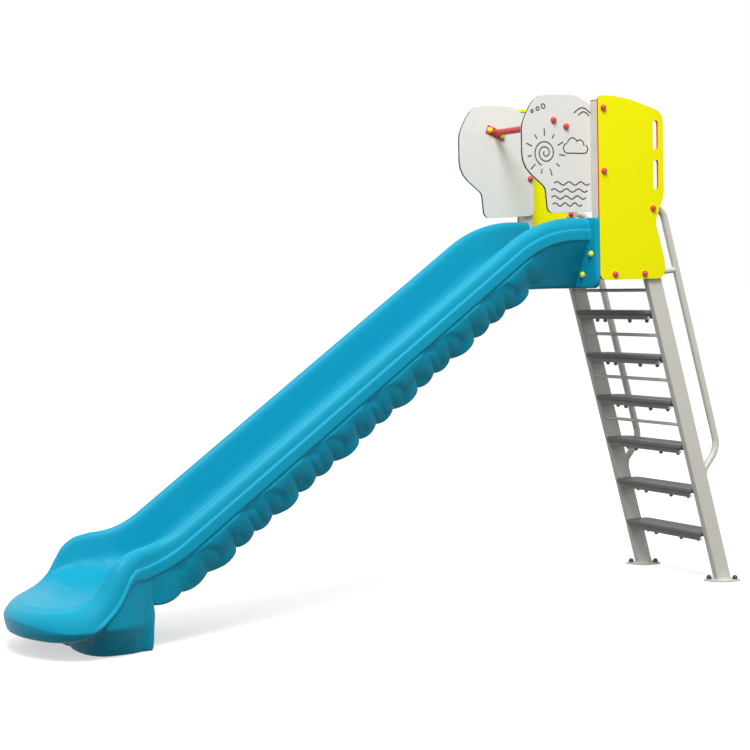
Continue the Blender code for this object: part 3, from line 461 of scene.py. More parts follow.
def adopt(name: str, shape: bmesh.types.BMesh, finish: Finish, stands_for: Iterable[str] = (),
          angle: float = 32.0, extra: Sequence[Finish] = (), recalc: bool = True) -> bpy.types.Object:
    """Turn a finished shape into a piece of the slide.

    Args:
        name: The piece's name.
        shape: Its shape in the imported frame, which is used up.
        finish: What it is finished in.
        stands_for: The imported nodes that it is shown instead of.
        angle: Edges sharper than this many degrees stay sharp.
        extra: Further finishes, for faces with a material number above nought.
        recalc: Whether its faces are turned to point out.

    Returns:
        The piece.
    """
    if recalc:
        bmesh.ops.recalc_face_normals(shape, faces=shape.faces)
    mesh = bpy.data.meshes.new(name)
    shape.to_mesh(mesh)
    shape.free()
    for coat in (finish, *extra):
        mesh.materials.append(coat.material())
    mesh.shade_smooth()
    mesh.set_sharp_from_angle(angle=math.radians(angle))
    for face in mesh.polygons:
        face.use_smooth = face.area < FLAT_FACE
    piece = put(name, mesh)
    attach(piece, BODY)
    for node in stands_for:
        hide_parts(node)
    LOG.info("%s: %d faces in %s", name, len(mesh.polygons), finish.name)
    return piece


def merged_copy(node: str) -> bmesh.types.BMesh:
    """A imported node's shape with its triangles joined up.

    Args:
        node: The node's name.

    Returns:
        A new shape.
    """
    shape = bmesh.new()
    shape.from_mesh(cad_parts[node].data)
    bmesh.ops.remove_doubles(shape, verts=shape.verts, dist=MERGE)
    bmesh.ops.dissolve_limit(shape, angle_limit=COPLANAR, verts=shape.verts, edges=shape.edges)
    return shape


def bevel(shape: bmesh.types.BMesh, edges: Sequence[bmesh.types.BMEdge], radius: float,
          segments: int, clamp: bool = True) -> None:
    """Round off chosen edges.

    Args:
        shape: The shape, which is changed.
        edges: The edges.
        radius: The width of the rounding.
        segments: Facets across the rounding.
        clamp: Whether the rounding narrows where it would run into another.
    """
    bmesh.ops.bevel(shape, geom=edges, offset=radius, affect="EDGES", segments=segments,
                    profile=0.5, material=-1, clamp_overlap=clamp)


def ease(shape: bmesh.types.BMesh, radius: float, segments: int = 3, longer: float = 0.0,
         angle: float = 60.0) -> bmesh.types.BMesh:
    """Round off the sharp edges of a shape.

    Args:
        shape: The shape, which is changed.
        radius: The width of the rounding.
        segments: Facets across the rounding.
        longer: Only edges longer than this are rounded.
        angle: Only edges sharper than this many degrees are rounded.

    Returns:
        The same shape.
    """
    sharp = [edge for edge in shape.edges if len(edge.link_faces) == 2
             and edge.calc_length() > longer and edge.calc_face_angle() > math.radians(angle)]
    bevel(shape, sharp, radius, segments)
    return shape


@dataclass(frozen=True)
class Corner:
    """A corner of a section: where it is, and how far before and after it the rounding starts.

    The arc is the facets round the corner, and the run is the steps from it to the next one.
    """

    place: Vector
    enter: float = 0.0
    leave: float = 0.0
    arc: int = 0
    run: int = 1


def rounded_path(corners: Sequence[Corner]) -> list[Vector]:
    """Points along straight runs whose corners are rounded off.

    Args:
        corners: The corners in order. The first and the last are the ends.

    Returns:
        The points, always as many for the same arcs and runs.
    """
    round_handle = 0.5523
    most = 0.98
    points = [corners[0].place.copy()]
    start = corners[0].place
    for before, here, after in zip(corners, corners[1:], corners[2:]):
        back = before.place - here.place
        ahead = after.place - here.place
        enter = here.place + back.normalized() * min(here.enter, back.length * most)
        leave = here.place + ahead.normalized() * min(here.leave, ahead.length * most)
        points += [start.lerp(enter, step / before.run) for step in range(1, before.run)]
        points += interpolate_bezier(enter, enter.lerp(here.place, round_handle),
                                     leave.lerp(here.place, round_handle), leave, here.arc + 1)
        start = leave
    end = corners[-1].place
    run = corners[-2].run
    return points + [start.lerp(end, step / run) for step in range(1, run + 1)]


def catmull(rows: Sequence[Sequence[float]], steps: int) -> list[list[float]]:
    """Rows of numbers with more rows between them, on smooth curves.

    Args:
        rows: The rows that the curves pass through.
        steps: How many rows each gap is cut into.

    Returns:
        All the rows in order.
    """
    result = []
    last = len(rows) - 1
    for index in range(last):
        before = rows[max(index - 1, 0)]
        after = rows[min(index + 2, last)]
        for step in range(steps):
            t = step / steps
            result.append([b + 0.5 * t * (c - a + t * (2 * a - 5 * b + 4 * c - d
                                                       + t * (3 * (b - c) + d - a)))
                           for a, b, c, d in zip(before, rows[index], rows[index + 1], after)])
    result.append(list(rows[last]))
    return result


def eased(value: float, first: float, last: float) -> float:
    """Nought up to the first value, one from the last, and an even S curve between."""
    share = max(0.0, min(1.0, (value - first) / (last - first)))
    return share * share * (3.0 - 2.0 * share)


@dataclass
class Chute:
    """The rotomoulded chute: a U channel with rolled rims, a relief skirt and a foot."""

    # The crown's line: a level run, a bend, the slope, a bend and the run-out's slope
    level: float = 0.070
    top_bend: float = 0.600
    slope: float = math.radians(35.26)
    slope_length: float = 1.980
    low_bend: float = 0.415
    low_slope: float = math.radians(4.0)
    crown_z: float = 1.755

    # Half widths and depths below the crown, from the floor's edge to the skirt's lower edge
    depth: float = 0.218
    wall_y: float = 0.2200
    crown_in: float = 0.2390
    crown_y: float = 0.257
    crown_out: float = 0.2895
    ledge_y: float = 0.2910
    bead_y: float = 0.300
    skirt_top_y: float = 0.295
    ledge_depth: float = 0.0535
    bead_depth: float = 0.0570
    band_depth: float = 0.103
    skirt_depth: float = 0.241
    low_reach: float = 0.0035
    skirt_low_y: float = 0.228
    skirt_gap: float = 0.004
    skirt_edge: float = 0.012
    skirt_run: int = 5
    skirt_top_round: tuple[float, float] = (0.003, 0.004)
    shoulder_round: float = 0.014

    # Upper corners from the floor's middle to the band: how far before and after each of them
    # its rounding starts, and its facets and the steps to the next
    rounds: tuple[tuple[float, float], ...] = (
        (0.0, 0.0), (0.100, 0.090), (0.034, 0.018), (0.0325, 0.0445), (0.003, 0.0025),
        (0.0055, 0.006), (0.005, 0.003))
    facets: tuple[tuple[int, int], ...] = (
        (0, 6), (10, 5), (7, 1), (9, 1), (3, 1), (4, 3), (3, 1))

    # The mounting flange, and the throat from its face to the channel
    back_gap: float = 0.0003
    flange_thick: float = 0.022
    flange_half: float = 0.342
    flange_low: float = 1.430
    flange_corner: float = 0.040
    flange_round: float = 0.013
    flange_crease: float = 0.001
    flange_depths: tuple[float, ...] = (0.060, 0.070, 0.110, 0.125, 0.180, 0.245)
    flange_front: tuple[tuple[float, float], ...] = (
        (0.007, 0.0), (0.0034, 0.0008), (0.0010, 0.0030), (0.0, 0.0065))
    throat: tuple[tuple[float, float], ...] = ((0.20, 0.0), (0.08, 0.0015), (0.02, 0.005))
    throat_length: float = 0.011

    # The skirt under the entrance
    entry_low: float = 1.432
    entry_skirt_y: float = 0.178
    entry_steps: int = 26
    entry_lateness: int = 6

    # The scallops of the skirt's lower edge, which repeat in threes down to the run-out
    lobes: tuple[float, ...] = (0.1535, 0.105, 0.105)
    lobe_count: int = 18
    lobe_skews: tuple[float, ...] = (0.8, 1.0, 1.0)
    lobe_start: float = 0.0250
    lobe_steps: int = 14
    runout_lobe: float = 0.090
    scallop: float = 0.165
    lobe_fullness: float = 0.7
    lobe_spread: float = 0.3

    # The skirt's relief, by place along the crown from the first scallop and place down the
    # skirt. An arch has its middle and radius, and a dome its middle, radius and height.
    web_line: tuple[float, float] = (-0.093, 0.628)
    web_heights: tuple[float, float] = (0.004, 0.011)
    web_edge: float = 0.022
    arch: tuple[float, float, float] = (0.173, 0.111, 0.098)
    domes: tuple[tuple[float, ...], ...] = (
        (0.154, 0.082, 0.070, 0.010), (0.2695, 0.088, 0.065, 0.009))
    dome_fullness: float = 0.6
    relief_lead: float = 0.006
    relief_taper: int = 6
    relief_start: float = 0.20
    relief_fade: float = 0.16

    # The run-out, where the band sinks and the floor lifts, its flare, the exit and the foot
    runout_sink: float = 0.020
    runout_lift: float = 0.042
    flare: float = 0.288
    flare_x: tuple[float, float] = (-2.150, -2.400)
    flare_full_z: float = 0.120
    exit_x: float = -2.440
    exit_floor: tuple[float, float] = (0.250, 0.228)
    exit_wall: float = 0.120
    exit_stretch: float = 290.0 / 300.0
    exit_steps: int = 6
    exit_edge: float = 0.010
    exit_wall_round: float = 0.150
    rise_rounds: tuple[float, float] = (0.4, 0.15)
    least_round: float = 0.004
    crown_dip: float = 0.08
    drop_round: float = 0.8
    band_round: float = 0.48
    band_draft: float = 0.998
    ledge_lift: float = 0.0035
    ledge_merge: float = 0.9
    sunk_drop: float = 0.010
    sunk_round: float = 0.016
    sunk_in: float = 0.024
    lip_under: tuple[float, float] = (0.235, 0.076)
    lip_tuck: float = 0.016
    tuck_travel: tuple[float, float] = (0.110, 0.310)
    sunk_from_z: float = 0.156
    sunk_over: float = 0.055
    foot_shoulder: tuple[float, float] = (0.006, 0.068)
    foot_half: float = 0.272
    foot_blend: float = 0.20
    foot_back: tuple[tuple[float, ...], ...] = (
        (0.14, -2.192, 0.150), (0.28, -2.196, 0.090), (0.50, -2.204, 0.0), (1.0, -2.250, 0.0))
    foot_steps: int = 5

    # How the run-out floor is eased, up to a few sections short of the lip's tip
    floor_columns: int = 19
    floor_start_x: float = -2.120
    floor_fade: int = 4
    floor_passes: int = 140
    lip_rows: int = 12
    lip_fade: int = 40

    # Sections round the lip: travel and height of the crown and of the bead, the band's height,
    # and where the foot meets the ground
    exit_rows: tuple[tuple[float, ...], ...] = (
        (-0.126, 0.418, -0.150, 0.346, 0.040, -2.290, 0.286),
        (-0.098, 0.407, -0.118, 0.316, 0.030, -2.328, 0.287),
        (-0.052, 0.374, -0.086, 0.262, 0.018, -2.364, 0.286),
        (-0.014, 0.320, -0.056, 0.218, 0.012, -2.392, 0.283),
        (0.018, 0.270, -0.021, 0.181, 0.012, -2.414, 0.274),
        (0.066, 0.229, 0.030, 0.141, 0.014, -2.437, 0.250),
        (0.130, 0.202, 0.112, 0.110, 0.016, -2.459, 0.205),
        (0.215, 0.189, 0.220, 0.116, 0.030, -2.472, 0.132),
        (0.310, 0.182, 0.352, 0.130, 0.042, -2.474, 0.060),
        (0.4037, 0.180, 0.4712, 0.134, 0.046, -2.468, 0.0))
    skirt_range: tuple[int, int] = field(default=(0, 0), init=False)

    def crown_at(self, distance: float) -> tuple[Vector, float]:
        """Follow the rim's crown down from the flange.

        Args:
            distance: How far along the crown.

        Returns:
            The place in tower X and Z, and the slope there in radians.
        """
        x, z, heading = -self.flange_thick, self.crown_z, 0.0
        legs = ((self.level, 0.0), (self.top_bend * self.slope, self.slope),
                (self.slope_length, 0.0),
                (self.low_bend * (self.slope - self.low_slope), self.low_slope - self.slope))
        for length, turn in legs:
            part = max(0.0, min(1.0, distance / length))
            if turn:
                radius = length / turn
                x -= radius * (math.sin(heading + turn * part) - math.sin(heading))
                z -= radius * (math.cos(heading) - math.cos(heading + turn * part))
            else:
                x -= length * part * math.cos(heading)
                z -= length * part * math.sin(heading)
            heading += turn * part
            distance -= length * part
            if part < 1.0:
                break
        return Vector((x, z)), heading

    @property
    def slope_start(self) -> float:
        """Distance along the crown at which the straight slope starts."""
        return self.level + self.top_bend * self.slope

    @property
    def first_lobe(self) -> float:
        """Distance along the crown at which the skirt's scallops start."""
        return self.slope_start + self.lobe_start

    @property
    def last_station(self) -> float:
        """Distance along the crown at which the foot takes over from the skirt."""
        whole = sum(self.lobes[lobe % 3] for lobe in range(self.lobe_count - 2))
        return self.first_lobe + whole + 2 * self.runout_lobe

    @property
    def runout_end(self) -> float:
        """Distance along the crown at which the exit starts."""
        return self.slope_start + self.slope_length + self.low_bend * (self.slope - self.low_slope)

    def stations(self) -> list[tuple[float, float]]:
        """Sections along the channel, each as its distance and the bulge of its skirt lobe."""
        count = self.entry_steps
        found = [(self.first_lobe * step / count, 0.0) for step in range(count)]
        place = self.first_lobe
        for lobe in range(self.lobe_count):
            length = self.lobes[lobe % 3] if lobe < self.lobe_count - 2 else self.runout_lobe
            for step in range(self.lobe_steps):
                share = step / self.lobe_steps
                skewed = share ** self.lobe_skews[lobe % 3]
                bulge = self.scallop * length * math.sin(math.pi * skewed) ** self.lobe_fullness
                found.append((place + length * share, bulge))
            place += length
        found.append((place, 0.0))
        return found

    def relief(self, distance: float, down: float) -> float:
        """How far the pattern moulded in the skirt stands out.

        A proud web lies between a leaning line and an arch, and two domes in the pocket beyond.

        Args:
            distance: Place along the crown.
            down: Distance down the skirt from the band.

        Returns:
            A height in metres.
        """
        period = sum(self.lobes)
        start, lean = self.web_line
        arch_along, arch_down, radius = self.arch
        along = (distance - self.first_lobe) % period
        proud = 0.0
        swell = 0.0
        for place in (along, along - period):
            past_line = (place - start - lean * down) / math.hypot(1.0, lean)
            past_arch = math.hypot(place - arch_along, down - arch_down) - radius
            inside = min(past_line, past_arch, arch_along - place)
            proud = max(proud, eased(inside, -self.web_edge / 2, self.web_edge / 2))
            for dome_along, dome_down, wide, height in self.domes:
                reach = math.hypot(place - dome_along, down - dome_down) / wide
                swell = max(swell, height * max(0.0, 1.0 - reach * reach) ** self.dome_fullness)
        top, middle = self.web_heights
        web = top + (middle - top) * math.sin(math.pi * min(1.0, down / arch_down))
        return (swell + (web - swell) * proud) * min(1.0, down / self.relief_lead)

    def corners(self, places: Sequence[Vector],
                rounds: Sequence[tuple[float, float]]) -> list[Corner]:
        """Upper corners with the same facets in every section, so that the sections join up.

        Args:
            places: Where the corners are, from the floor's middle to the band's lower edge.
            rounds: How far before and after each corner its rounding starts.

        Returns:
            The corners.
        """
        return [Corner(place, *pair, *count)
                for place, pair, count in zip(places, rounds, self.facets)]

    def upper(self, place: Callable[[float, float], Vector], arrived: float = 0.0) -> list[Corner]:
        """Corners of a section from the floor's middle to the band's lower edge.

        Args:
            place: Turns a half width and a depth below the crown into a point.
            arrived: How far the channel has turned into the run-out, from nought to one.

        Returns:
            The corners.
        """
        deep = self.depth - self.runout_lift * arrived
        sink = self.runout_sink * arrived
        across = ((0.0, deep), (self.wall_y, deep), (self.crown_in, 0.0), (self.crown_out, 0.0),
                  (self.ledge_y, self.ledge_depth + sink), (self.bead_y, self.bead_depth + sink),
                  (self.bead_y, self.band_depth + sink))
        return self.corners([place(*spot) for spot in across], self.rounds)

    def close(self, corners: list[Corner], top: Vector, shoulders: Sequence[Vector], low: Vector,
              bottom: Vector, edge: float) -> list[Vector]:
        """Finish a section with its skirt, lower edge and underside.

        Args:
            corners: The section's upper corners.
            top: Where the skirt starts, behind the band.
            shoulders: Two places that the skirt passes.
            low: The lower edge.
            bottom: The underside's middle.
            edge: Rounding of the lower edge.

        Returns:
            All the section's points.
        """
        run, wide = self.skirt_run, self.shoulder_round
        first, second = (Corner(place, wide, wide, 2, run) for place in shoulders)
        skirt = [Corner(top, *self.skirt_top_round, 2, run), first, second,
                 Corner(low, edge, edge, 4, 4)]
        start = len(rounded_path(corners + skirt[:2])) - run
        self.skirt_range = (start, start + 3 * run + 10)
        return rounded_path(corners + skirt + [Corner(bottom)])

    def section(self, distance: float, bulge: float, foot: Vector | None = None) -> list[Vector]:
        """Half of a section across the channel.

        Args:
            distance: Place along the crown.
            bulge: How far the skirt's lobe reaches below its cusps.
            foot: The lower edge's place, where the foot has taken over.

        Returns:
            Points in tower coordinates.
        """
        crown, heading = self.crown_at(distance)
        down = Vector((math.sin(heading), -math.cos(heading)))

        def place(y: float, depth: float) -> Vector:
            """The point at a half width and a depth below the crown."""
            spot = crown + down * depth
            return Vector((spot.x, y, spot.y))

        arrived = eased(distance, self.slope_start + self.slope_length, self.runout_end)
        top = place(self.skirt_top_y, self.band_depth + self.runout_sink * arrived + self.skirt_gap)
        low = foot or self.skirt_low(distance, bulge)
        shoulders = (top.lerp(low, 1 / 3), top.lerp(low, 2 / 3))
        points = self.close(self.upper(place, arrived), top, shoulders, low,
                            Vector((low.x, 0.0, low.z)), self.skirt_edge)
        first, last = self.skirt_range
        fade = 0.0 if foot else eased(distance, self.relief_start, self.slope_start) * (
            1.0 - eased(distance, self.last_station - self.relief_fade, self.last_station))
        for index in range(first, last):
            share = fade * min(1.0, (last - index) / self.relief_taper)
            points[index].y += self.relief(distance, (points[index] - top).length) * share
        return points

    def skirt_low(self, distance: float, bulge: float) -> Vector:
        """The skirt's lower edge: level under the entrance, scalloped along the slope.

        Args:
            distance: Place along the crown.
            bulge: How far the lobe reaches below its cusps.

        Returns:
            A point in tower coordinates.
        """
        share = min(1.0, distance / self.first_lobe)
        crown, heading = self.crown_at(max(distance, self.first_lobe))
        spot = crown + Vector((math.sin(heading), -math.cos(heading))) * (
            self.skirt_depth + self.low_reach + bulge)
        to_foot = eased(distance, self.last_station - self.foot_blend, self.last_station)
        wide = self.skirt_low_y + (self.foot_half - self.skirt_low_y) * to_foot
        low = Vector((spot.x, wide + bulge * self.lobe_spread, spot.y))
        entry = Vector((-self.flange_thick, self.entry_skirt_y, self.entry_low))
        if share < 1.0:
            low.x = entry.x + (low.x - entry.x) * share
            low.y = entry.y + (low.y - entry.y) * share
            low.z = entry.z + (low.z - entry.z) * share ** self.entry_lateness
        return low

    def outline(self, travel: float, radius: float) -> tuple[float, float]:
        """A place on the exit's plan: straight, then round the lip.

        Args:
            travel: Distance past the straight part, negative before it.
            radius: Half width of the line that is followed.

        Returns:
            X and Y.
        """
        if travel < 0 or radius < 1e-5:
            return self.exit_x - min(travel, 0.0), radius
        angle = travel / radius
        return self.exit_x - radius * self.exit_stretch * math.sin(angle), radius * math.cos(angle)

    def exit_section(self, row: Sequence[float]) -> list[Vector]:
        """Half of a section that fans round the lip.

        Args:
            row: Travel and height of the crown and of the bead, the band's height, and the place
                where the foot meets the ground.

        Returns:
            Points in tower coordinates.
        """
        crown_go, crown_z, bead_go, bead_z, band, foot_x, foot_y = row
        tuck = self.lip_tuck * eased(bead_go, *self.tuck_travel)
        high, low_floor = self.exit_floor
        floor = high + (low_floor - high) * eased(crown_go, self.exit_rows[0][0], 0.0)
        fall = crown_z - floor
        steep = max(0.0, min(1.0, fall / self.exit_wall))
        rise = max(0.0, fall) * steep
        drop = crown_z - bead_z
        low_z = bead_z - band
        sunk = max(0.0, min(1.0, (self.sunk_from_z - low_z) / self.sunk_over))
        turn = max(0.0, bead_go) / self.bead_y

        def place(y: float, z: float) -> Vector:
            """The point at a half width and a height, moved round the lip."""
            share = max(0.0, min(1.0, (y - self.crown_y) / (self.bead_y - self.crown_y)))
            inner = crown_go if crown_go < 0 else crown_go * min(1.0, y / self.crown_y)
            go = inner + (bead_go - crown_go) * share
            drawn_in = y - tuck * share / 2
            x, wide = self.outline(go * drawn_in / y if go > 0 else go, drawn_in)
            return Vector((x, wide, z))

        def sloped(y: float) -> float:
            """Height of the floor where it is a bowl, by half width."""
            return floor + fall * (y / self.crown_y) ** (2 if fall > 0 else 4)

        def ring(radius: float, z: float) -> Vector:
            """The point at a half width and a height, on this section's line round the lip."""
            x, wide = self.outline(turn * radius if turn else bead_go, radius)
            return Vector((x, wide, z))

        wall_z = floor + (sloped(self.wall_y) - floor) * (1 - steep)
        inner_z = crown_z + (sloped(self.crown_in) - crown_z) * (1 - steep)
        ledge_y = self.ledge_y + (self.bead_y - self.ledge_y) * sunk * self.ledge_merge
        places = (place(0.0, floor), place(self.wall_y, wall_z), place(self.crown_in, inner_z),
                  place(self.crown_out, crown_z - self.crown_dip * drop),
                  place(ledge_y, bead_z + self.ledge_lift + self.sunk_drop * sunk),
                  place(self.bead_y, bead_z), ring(self.bead_y * self.band_draft - tuck, low_z))
        middle, _, inner, outer, ledge, bead, under = self.rounds
        after_wall, before_crown = (share * rise + self.least_round for share in self.rise_rounds)
        half_band = self.band_round * band
        rounds = (middle, (self.exit_wall_round, after_wall), (before_crown, inner[1]),
                  (outer[0], self.drop_round * drop), ledge,
                  (bead[0] + self.sunk_round * sunk, half_band), (half_band, under[1]))
        top = ring(self.skirt_top_y - self.sunk_in * sunk - tuck,
                   low_z - self.skirt_gap - self.sunk_drop * sunk)
        low = Vector((foot_x, foot_y, 0.0))
        first = top.lerp(low, 1 / 3).lerp(ring(*self.lip_under), sunk)
        reach, height = self.foot_shoulder
        second = top.lerp(low, 2 / 3).lerp(Vector((low.x - reach, low.y, height)), sunk)
        bottom = Vector((max(low.x, self.exit_x), 0.0, 0.0))
        return self.close(self.corners(places, rounds), top, (first, second), low, bottom,
                          self.exit_edge)

    def flared(self, point: Vector) -> Vector:
        """Move a point out to where the run-out's flare puts it."""
        share = eased(point.x, *self.flare_x) * min(1.0, point.z / self.flare_full_z)
        return Vector((point.x, point.y * (1.0 + self.flare * share), point.z))

    def flange_section(self, x: float, inset: float) -> list[Vector]:
        """Half of a section through the mounting flange.

        Args:
            x: Tower X of the section.
            inset: How far the outline is drawn in, for the rounded front edge.

        Returns:
            Points in tower coordinates.
        """
        def place(y: float, depth: float) -> Vector:
            """The point at a half width and a depth below the crown."""
            return Vector((x, y, self.crown_z - depth))

        half = self.flange_half - inset
        low = self.crown_z - self.flange_low - inset
        channel = [corner.place for corner in self.upper(place)[:3]]
        side = [place(half, depth) for depth in (inset, *self.flange_depths)]
        crease = (self.flange_crease, self.flange_crease)
        rounds = [*self.rounds[:3], (self.flange_round, self.flange_round), crease, crease, crease]
        return self.close(self.corners(channel + side[:4], rounds), side[4], side[5:],
                          place(half, low), place(0.0, low), self.flange_corner)

    def ease_floor(self, rows: Sequence[Sequence[Vector]]) -> None:
        """Ease the run-out floor's height from section to section, so that no crease crosses it.

        Args:
            rows: The half sections, whose floor points are moved up or down.
        """
        start = next(index for index, row in enumerate(rows) if row[0].x < self.floor_start_x)
        for _ in range(self.floor_passes):
            for column in range(self.floor_columns + 1):
                share = 0.5 * min(1.0, (self.floor_columns + 1 - column) / self.floor_fade)
                heights = [row[column].z for row in rows]
                for index in range(start, len(rows) - 1):
                    middle = (heights[index - 1] + heights[index + 1]) / 2
                    from_lip = (len(rows) - self.lip_rows - index) / self.lip_fade
                    from_lip = max(0.0, min(1.0, from_lip))
                    rows[index][column].z += (middle - heights[index]) * share * from_lip

    def sections(self) -> list[list[Vector]]:
        """Every half section from the flange's back to the tip of the lip."""
        front = -self.flange_thick
        made = [self.flange_section(-self.back_gap, 0.0)]
        made += [self.flange_section(front + back, inset) for back, inset in self.flange_front]
        rim = self.section(0.0, 0.0)
        face = made[-1]
        for share, ahead in self.throat:
            ring = [point.lerp(edge, share) for point, edge in zip(rim, face)]
            made.append([Vector((front - ahead, point.y, point.z)) for point in ring])
        stations = self.stations()
        made += [self.section(max(distance, self.throat_length), bulge)
                 for distance, bulge in stations]
        start = stations[-1][0]
        low = self.skirt_low(start, 0.0)
        rows = [(0.0, low.x, low.z, low.y)] + [(*row, self.foot_half) for row in self.foot_back]
        for share, x, z, y in catmull(rows, self.foot_steps)[1:]:
            foot = Vector((x, y, max(0.0, z)))
            made.append(self.section(start + (self.runout_end - start) * share, 0.0, foot))
        made += [self.exit_section(row) for row in catmull(self.exit_rows, self.exit_steps)]
        for point in made[-1]:
            point.y = 0.0
        self.ease_floor(made)
        return [[self.flared(point) for point in section] for section in made]

    def build(self) -> None:
        """Wrap a grid over the half sections, mirror it and close the flange's back."""
        rows = self.sections()
        across = len(rows[0]) - 1
        along = len(rows) - 1
        shape = bmesh.new()
        bmesh.ops.create_grid(shape, x_segments=along, y_segments=across, size=0.5)
        for vert in shape.verts:
            row = rows[round((vert.co.x + 0.5) * along)]
            vert.co = row[round((vert.co.y + 0.5) * across)] + Vector((TOWER_X, 0.0, 0.0))
        bmesh.ops.remove_doubles(shape, verts=shape.verts, dist=MERGE)
        bmesh.ops.mirror(shape, geom=shape.verts[:] + shape.edges[:] + shape.faces[:], axis="Y",
                         merge_dist=MIRROR_MERGE)
        rim = [edge for edge in shape.edges if edge.is_boundary]
        bmesh.ops.holes_fill(shape, edges=rim, sides=0)
        bmesh.ops.dissolve_degenerate(shape, edges=shape.edges, dist=MERGE)
        adopt("chute_moulding", shape, BLUE, ["chute"], angle=55.0)


# The ladder's lean as X to a metre of height, tower X of its front at the ground, the stringer
# tube's depth square to itself and along X, and half of the frame's width
LEAN = math.tan(math.radians(15.3))
STRINGER_FOOT = 0.6775
STRINGER_TUBE = 0.080
STRINGER_DEEP = STRINGER_TUBE / math.cos(math.atan(LEAN))
FRAME_HALF = 0.331


def at(x: float, y: float, z: float) -> Vector:
    """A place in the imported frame, from its tower X."""
    return Vector((TOWER_X + x, y, z))


def front_x(z: float) -> float:
    """Tower X of the stringers' front face at a height."""
    return STRINGER_FOOT - LEAN * z


def join(shape: bmesh.types.BMesh, *parts: bmesh.types.BMesh) -> bmesh.types.BMesh:
    """Add finished parts to a shape.

    Args:
        shape: The shape that grows.
        parts: The parts, which are used up.

    Returns:
        The same shape.
    """
    for part in parts:
        bmesh.ops.recalc_face_normals(part, faces=part.faces)
        mesh = bpy.data.meshes.new("part")
        part.to_mesh(mesh)
        part.free()
        shape.from_mesh(mesh)
        bpy.data.meshes.remove(mesh)
    return shape


def painted(shape: bmesh.types.BMesh, paint: int) -> bmesh.types.BMesh:
    """Give all of a shape's faces one material number."""
    for face in shape.faces:
        face.material_index = paint
    return shape


def crate(low: Vector, high: Vector) -> bmesh.types.BMesh:
    """A sharp box between its lowest and its highest corner."""
    shape = bmesh.new()
    bmesh.ops.create_cube(shape, size=1.0)
    bmesh.ops.scale(shape, vec=high - low, verts=shape.verts)
    bmesh.ops.translate(shape, vec=(low + high) / 2, verts=shape.verts)
    return shape


def block(low: Vector, high: Vector, radius: float = 0.001, segments: int = 2,
          along: str = "XYZ") -> bmesh.types.BMesh:
    """A box between two corners with its edges rounded.

    Args:
        low: The lowest corner.
        high: The highest corner.
        radius: Width of the rounding.
        segments: Facets across the rounding.
        along: The axes whose edges are rounded.

    Returns:
        A new shape.
    """
    shape = crate(low, high)
    chosen = [edge for edge in shape.edges for index, letter in enumerate("XYZ")
              if letter in along and abs(edge.verts[0].co[index] - edge.verts[1].co[index]) > LEVEL]
    bevel(shape, chosen, radius, segments)
    return shape


def aimed(place: Vector, toward: Vector) -> Matrix:
    """A matrix that turns up into a direction and moves the origin to a place."""
    turn = UP.rotation_difference(toward).to_matrix().to_4x4()
    return Matrix.Translation(place) @ turn


def spun(profile: Sequence[tuple[float, float]], place: Vector, toward: Vector = UP,
         steps: int = 28) -> bmesh.types.BMesh:
    """A shape turned round an axis.

    Args:
        profile: Radius and distance along the axis of each point.
        place: Where the axis starts.
        toward: The axis's direction.
        steps: Facets round it.

    Returns:
        A new shape.
    """
    shape = bmesh.new()
    verts = [shape.verts.new((radius, 0.0, along)) for radius, along in profile]
    edges = [shape.edges.new(pair) for pair in zip(verts, verts[1:])]
    bmesh.ops.spin(shape, geom=verts + edges, cent=(0, 0, 0), axis=(0, 0, 1), angle=math.tau,
                   steps=steps, use_merge=True)
    bmesh.ops.transform(shape, matrix=aimed(place, toward), verts=shape.verts)
    bmesh.ops.remove_doubles(shape, verts=shape.verts, dist=SPUN_MERGE)
    return shape


def swept(path: Sequence[Vector], radius: float, sides: int = 20, closed: bool = False,
          uneven: float = 0.0) -> bmesh.types.BMesh:
    """A round bar along a path.

    Args:
        path: The points of its middle line.
        radius: Its radius.
        sides: Facets round it.
        closed: Whether its end runs into its start.
        uneven: How much the radius comes and goes, as on a weld bead.

    Returns:
        A new shape.
    """
    lump_turn = 2.1
    points = [point.copy() for point in path] + ([path[0].copy()] if closed else [])
    count = len(points) - 1
    across = []
    side = None
    for index in range(count + 1):
        before = points[index - 1] if index else (points[-2] if closed else points[0])
        after = points[index + 1] if index < count else (points[1] if closed else points[-1])
        ahead = (after - before).normalized()
        side = ahead.orthogonal() if side is None else side - ahead * side.dot(ahead)
        side.normalize()
        across.append((side.copy(), ahead.cross(side)))
    if closed:
        across[-1] = across[0]
    shape = bmesh.new()
    bmesh.ops.create_grid(shape, x_segments=count, y_segments=sides, size=0.5)
    for vert in shape.verts:
        index = round((vert.co.x + 0.5) * count)
        angle = math.tau * round((vert.co.y + 0.5) * sides) / sides
        first, second = across[index]
        wide = radius * (1.0 + uneven * math.sin(lump_turn * (index % count)))
        vert.co = points[index] + (first * math.cos(angle) + second * math.sin(angle)) * wide
    bmesh.ops.remove_doubles(shape, verts=shape.verts, dist=TUBE_MERGE)
    rim = [edge for edge in shape.edges if edge.is_boundary]
    if rim:
        bmesh.ops.holes_fill(shape, edges=rim, sides=0)
    return shape


def straight(first: Vector, second: Vector, steps: int) -> list[Vector]:
    """Evenly spaced points from one place to another."""
    return [first.lerp(second, step / steps) for step in range(steps + 1)]


def weld(corners: Sequence[Vector], radius: float, closed: bool = True) -> bmesh.types.BMesh:
    """An uneven weld bead through corners.

    Args:
        corners: The corners of its line.
        radius: Its radius.
        closed: Whether it runs back to its start.

    Returns:
        A new shape.
    """
    spacing = 0.004
    ends = [*corners, corners[0]] if closed else list(corners)
    path = []
    for first, second in zip(ends, ends[1:]):
        steps = max(2, round((second - first).length / spacing))
        path += straight(first, second, steps)[:-1]
    if not closed:
        path.append(ends[-1])
    return swept(path, radius, 8, closed, 0.12)


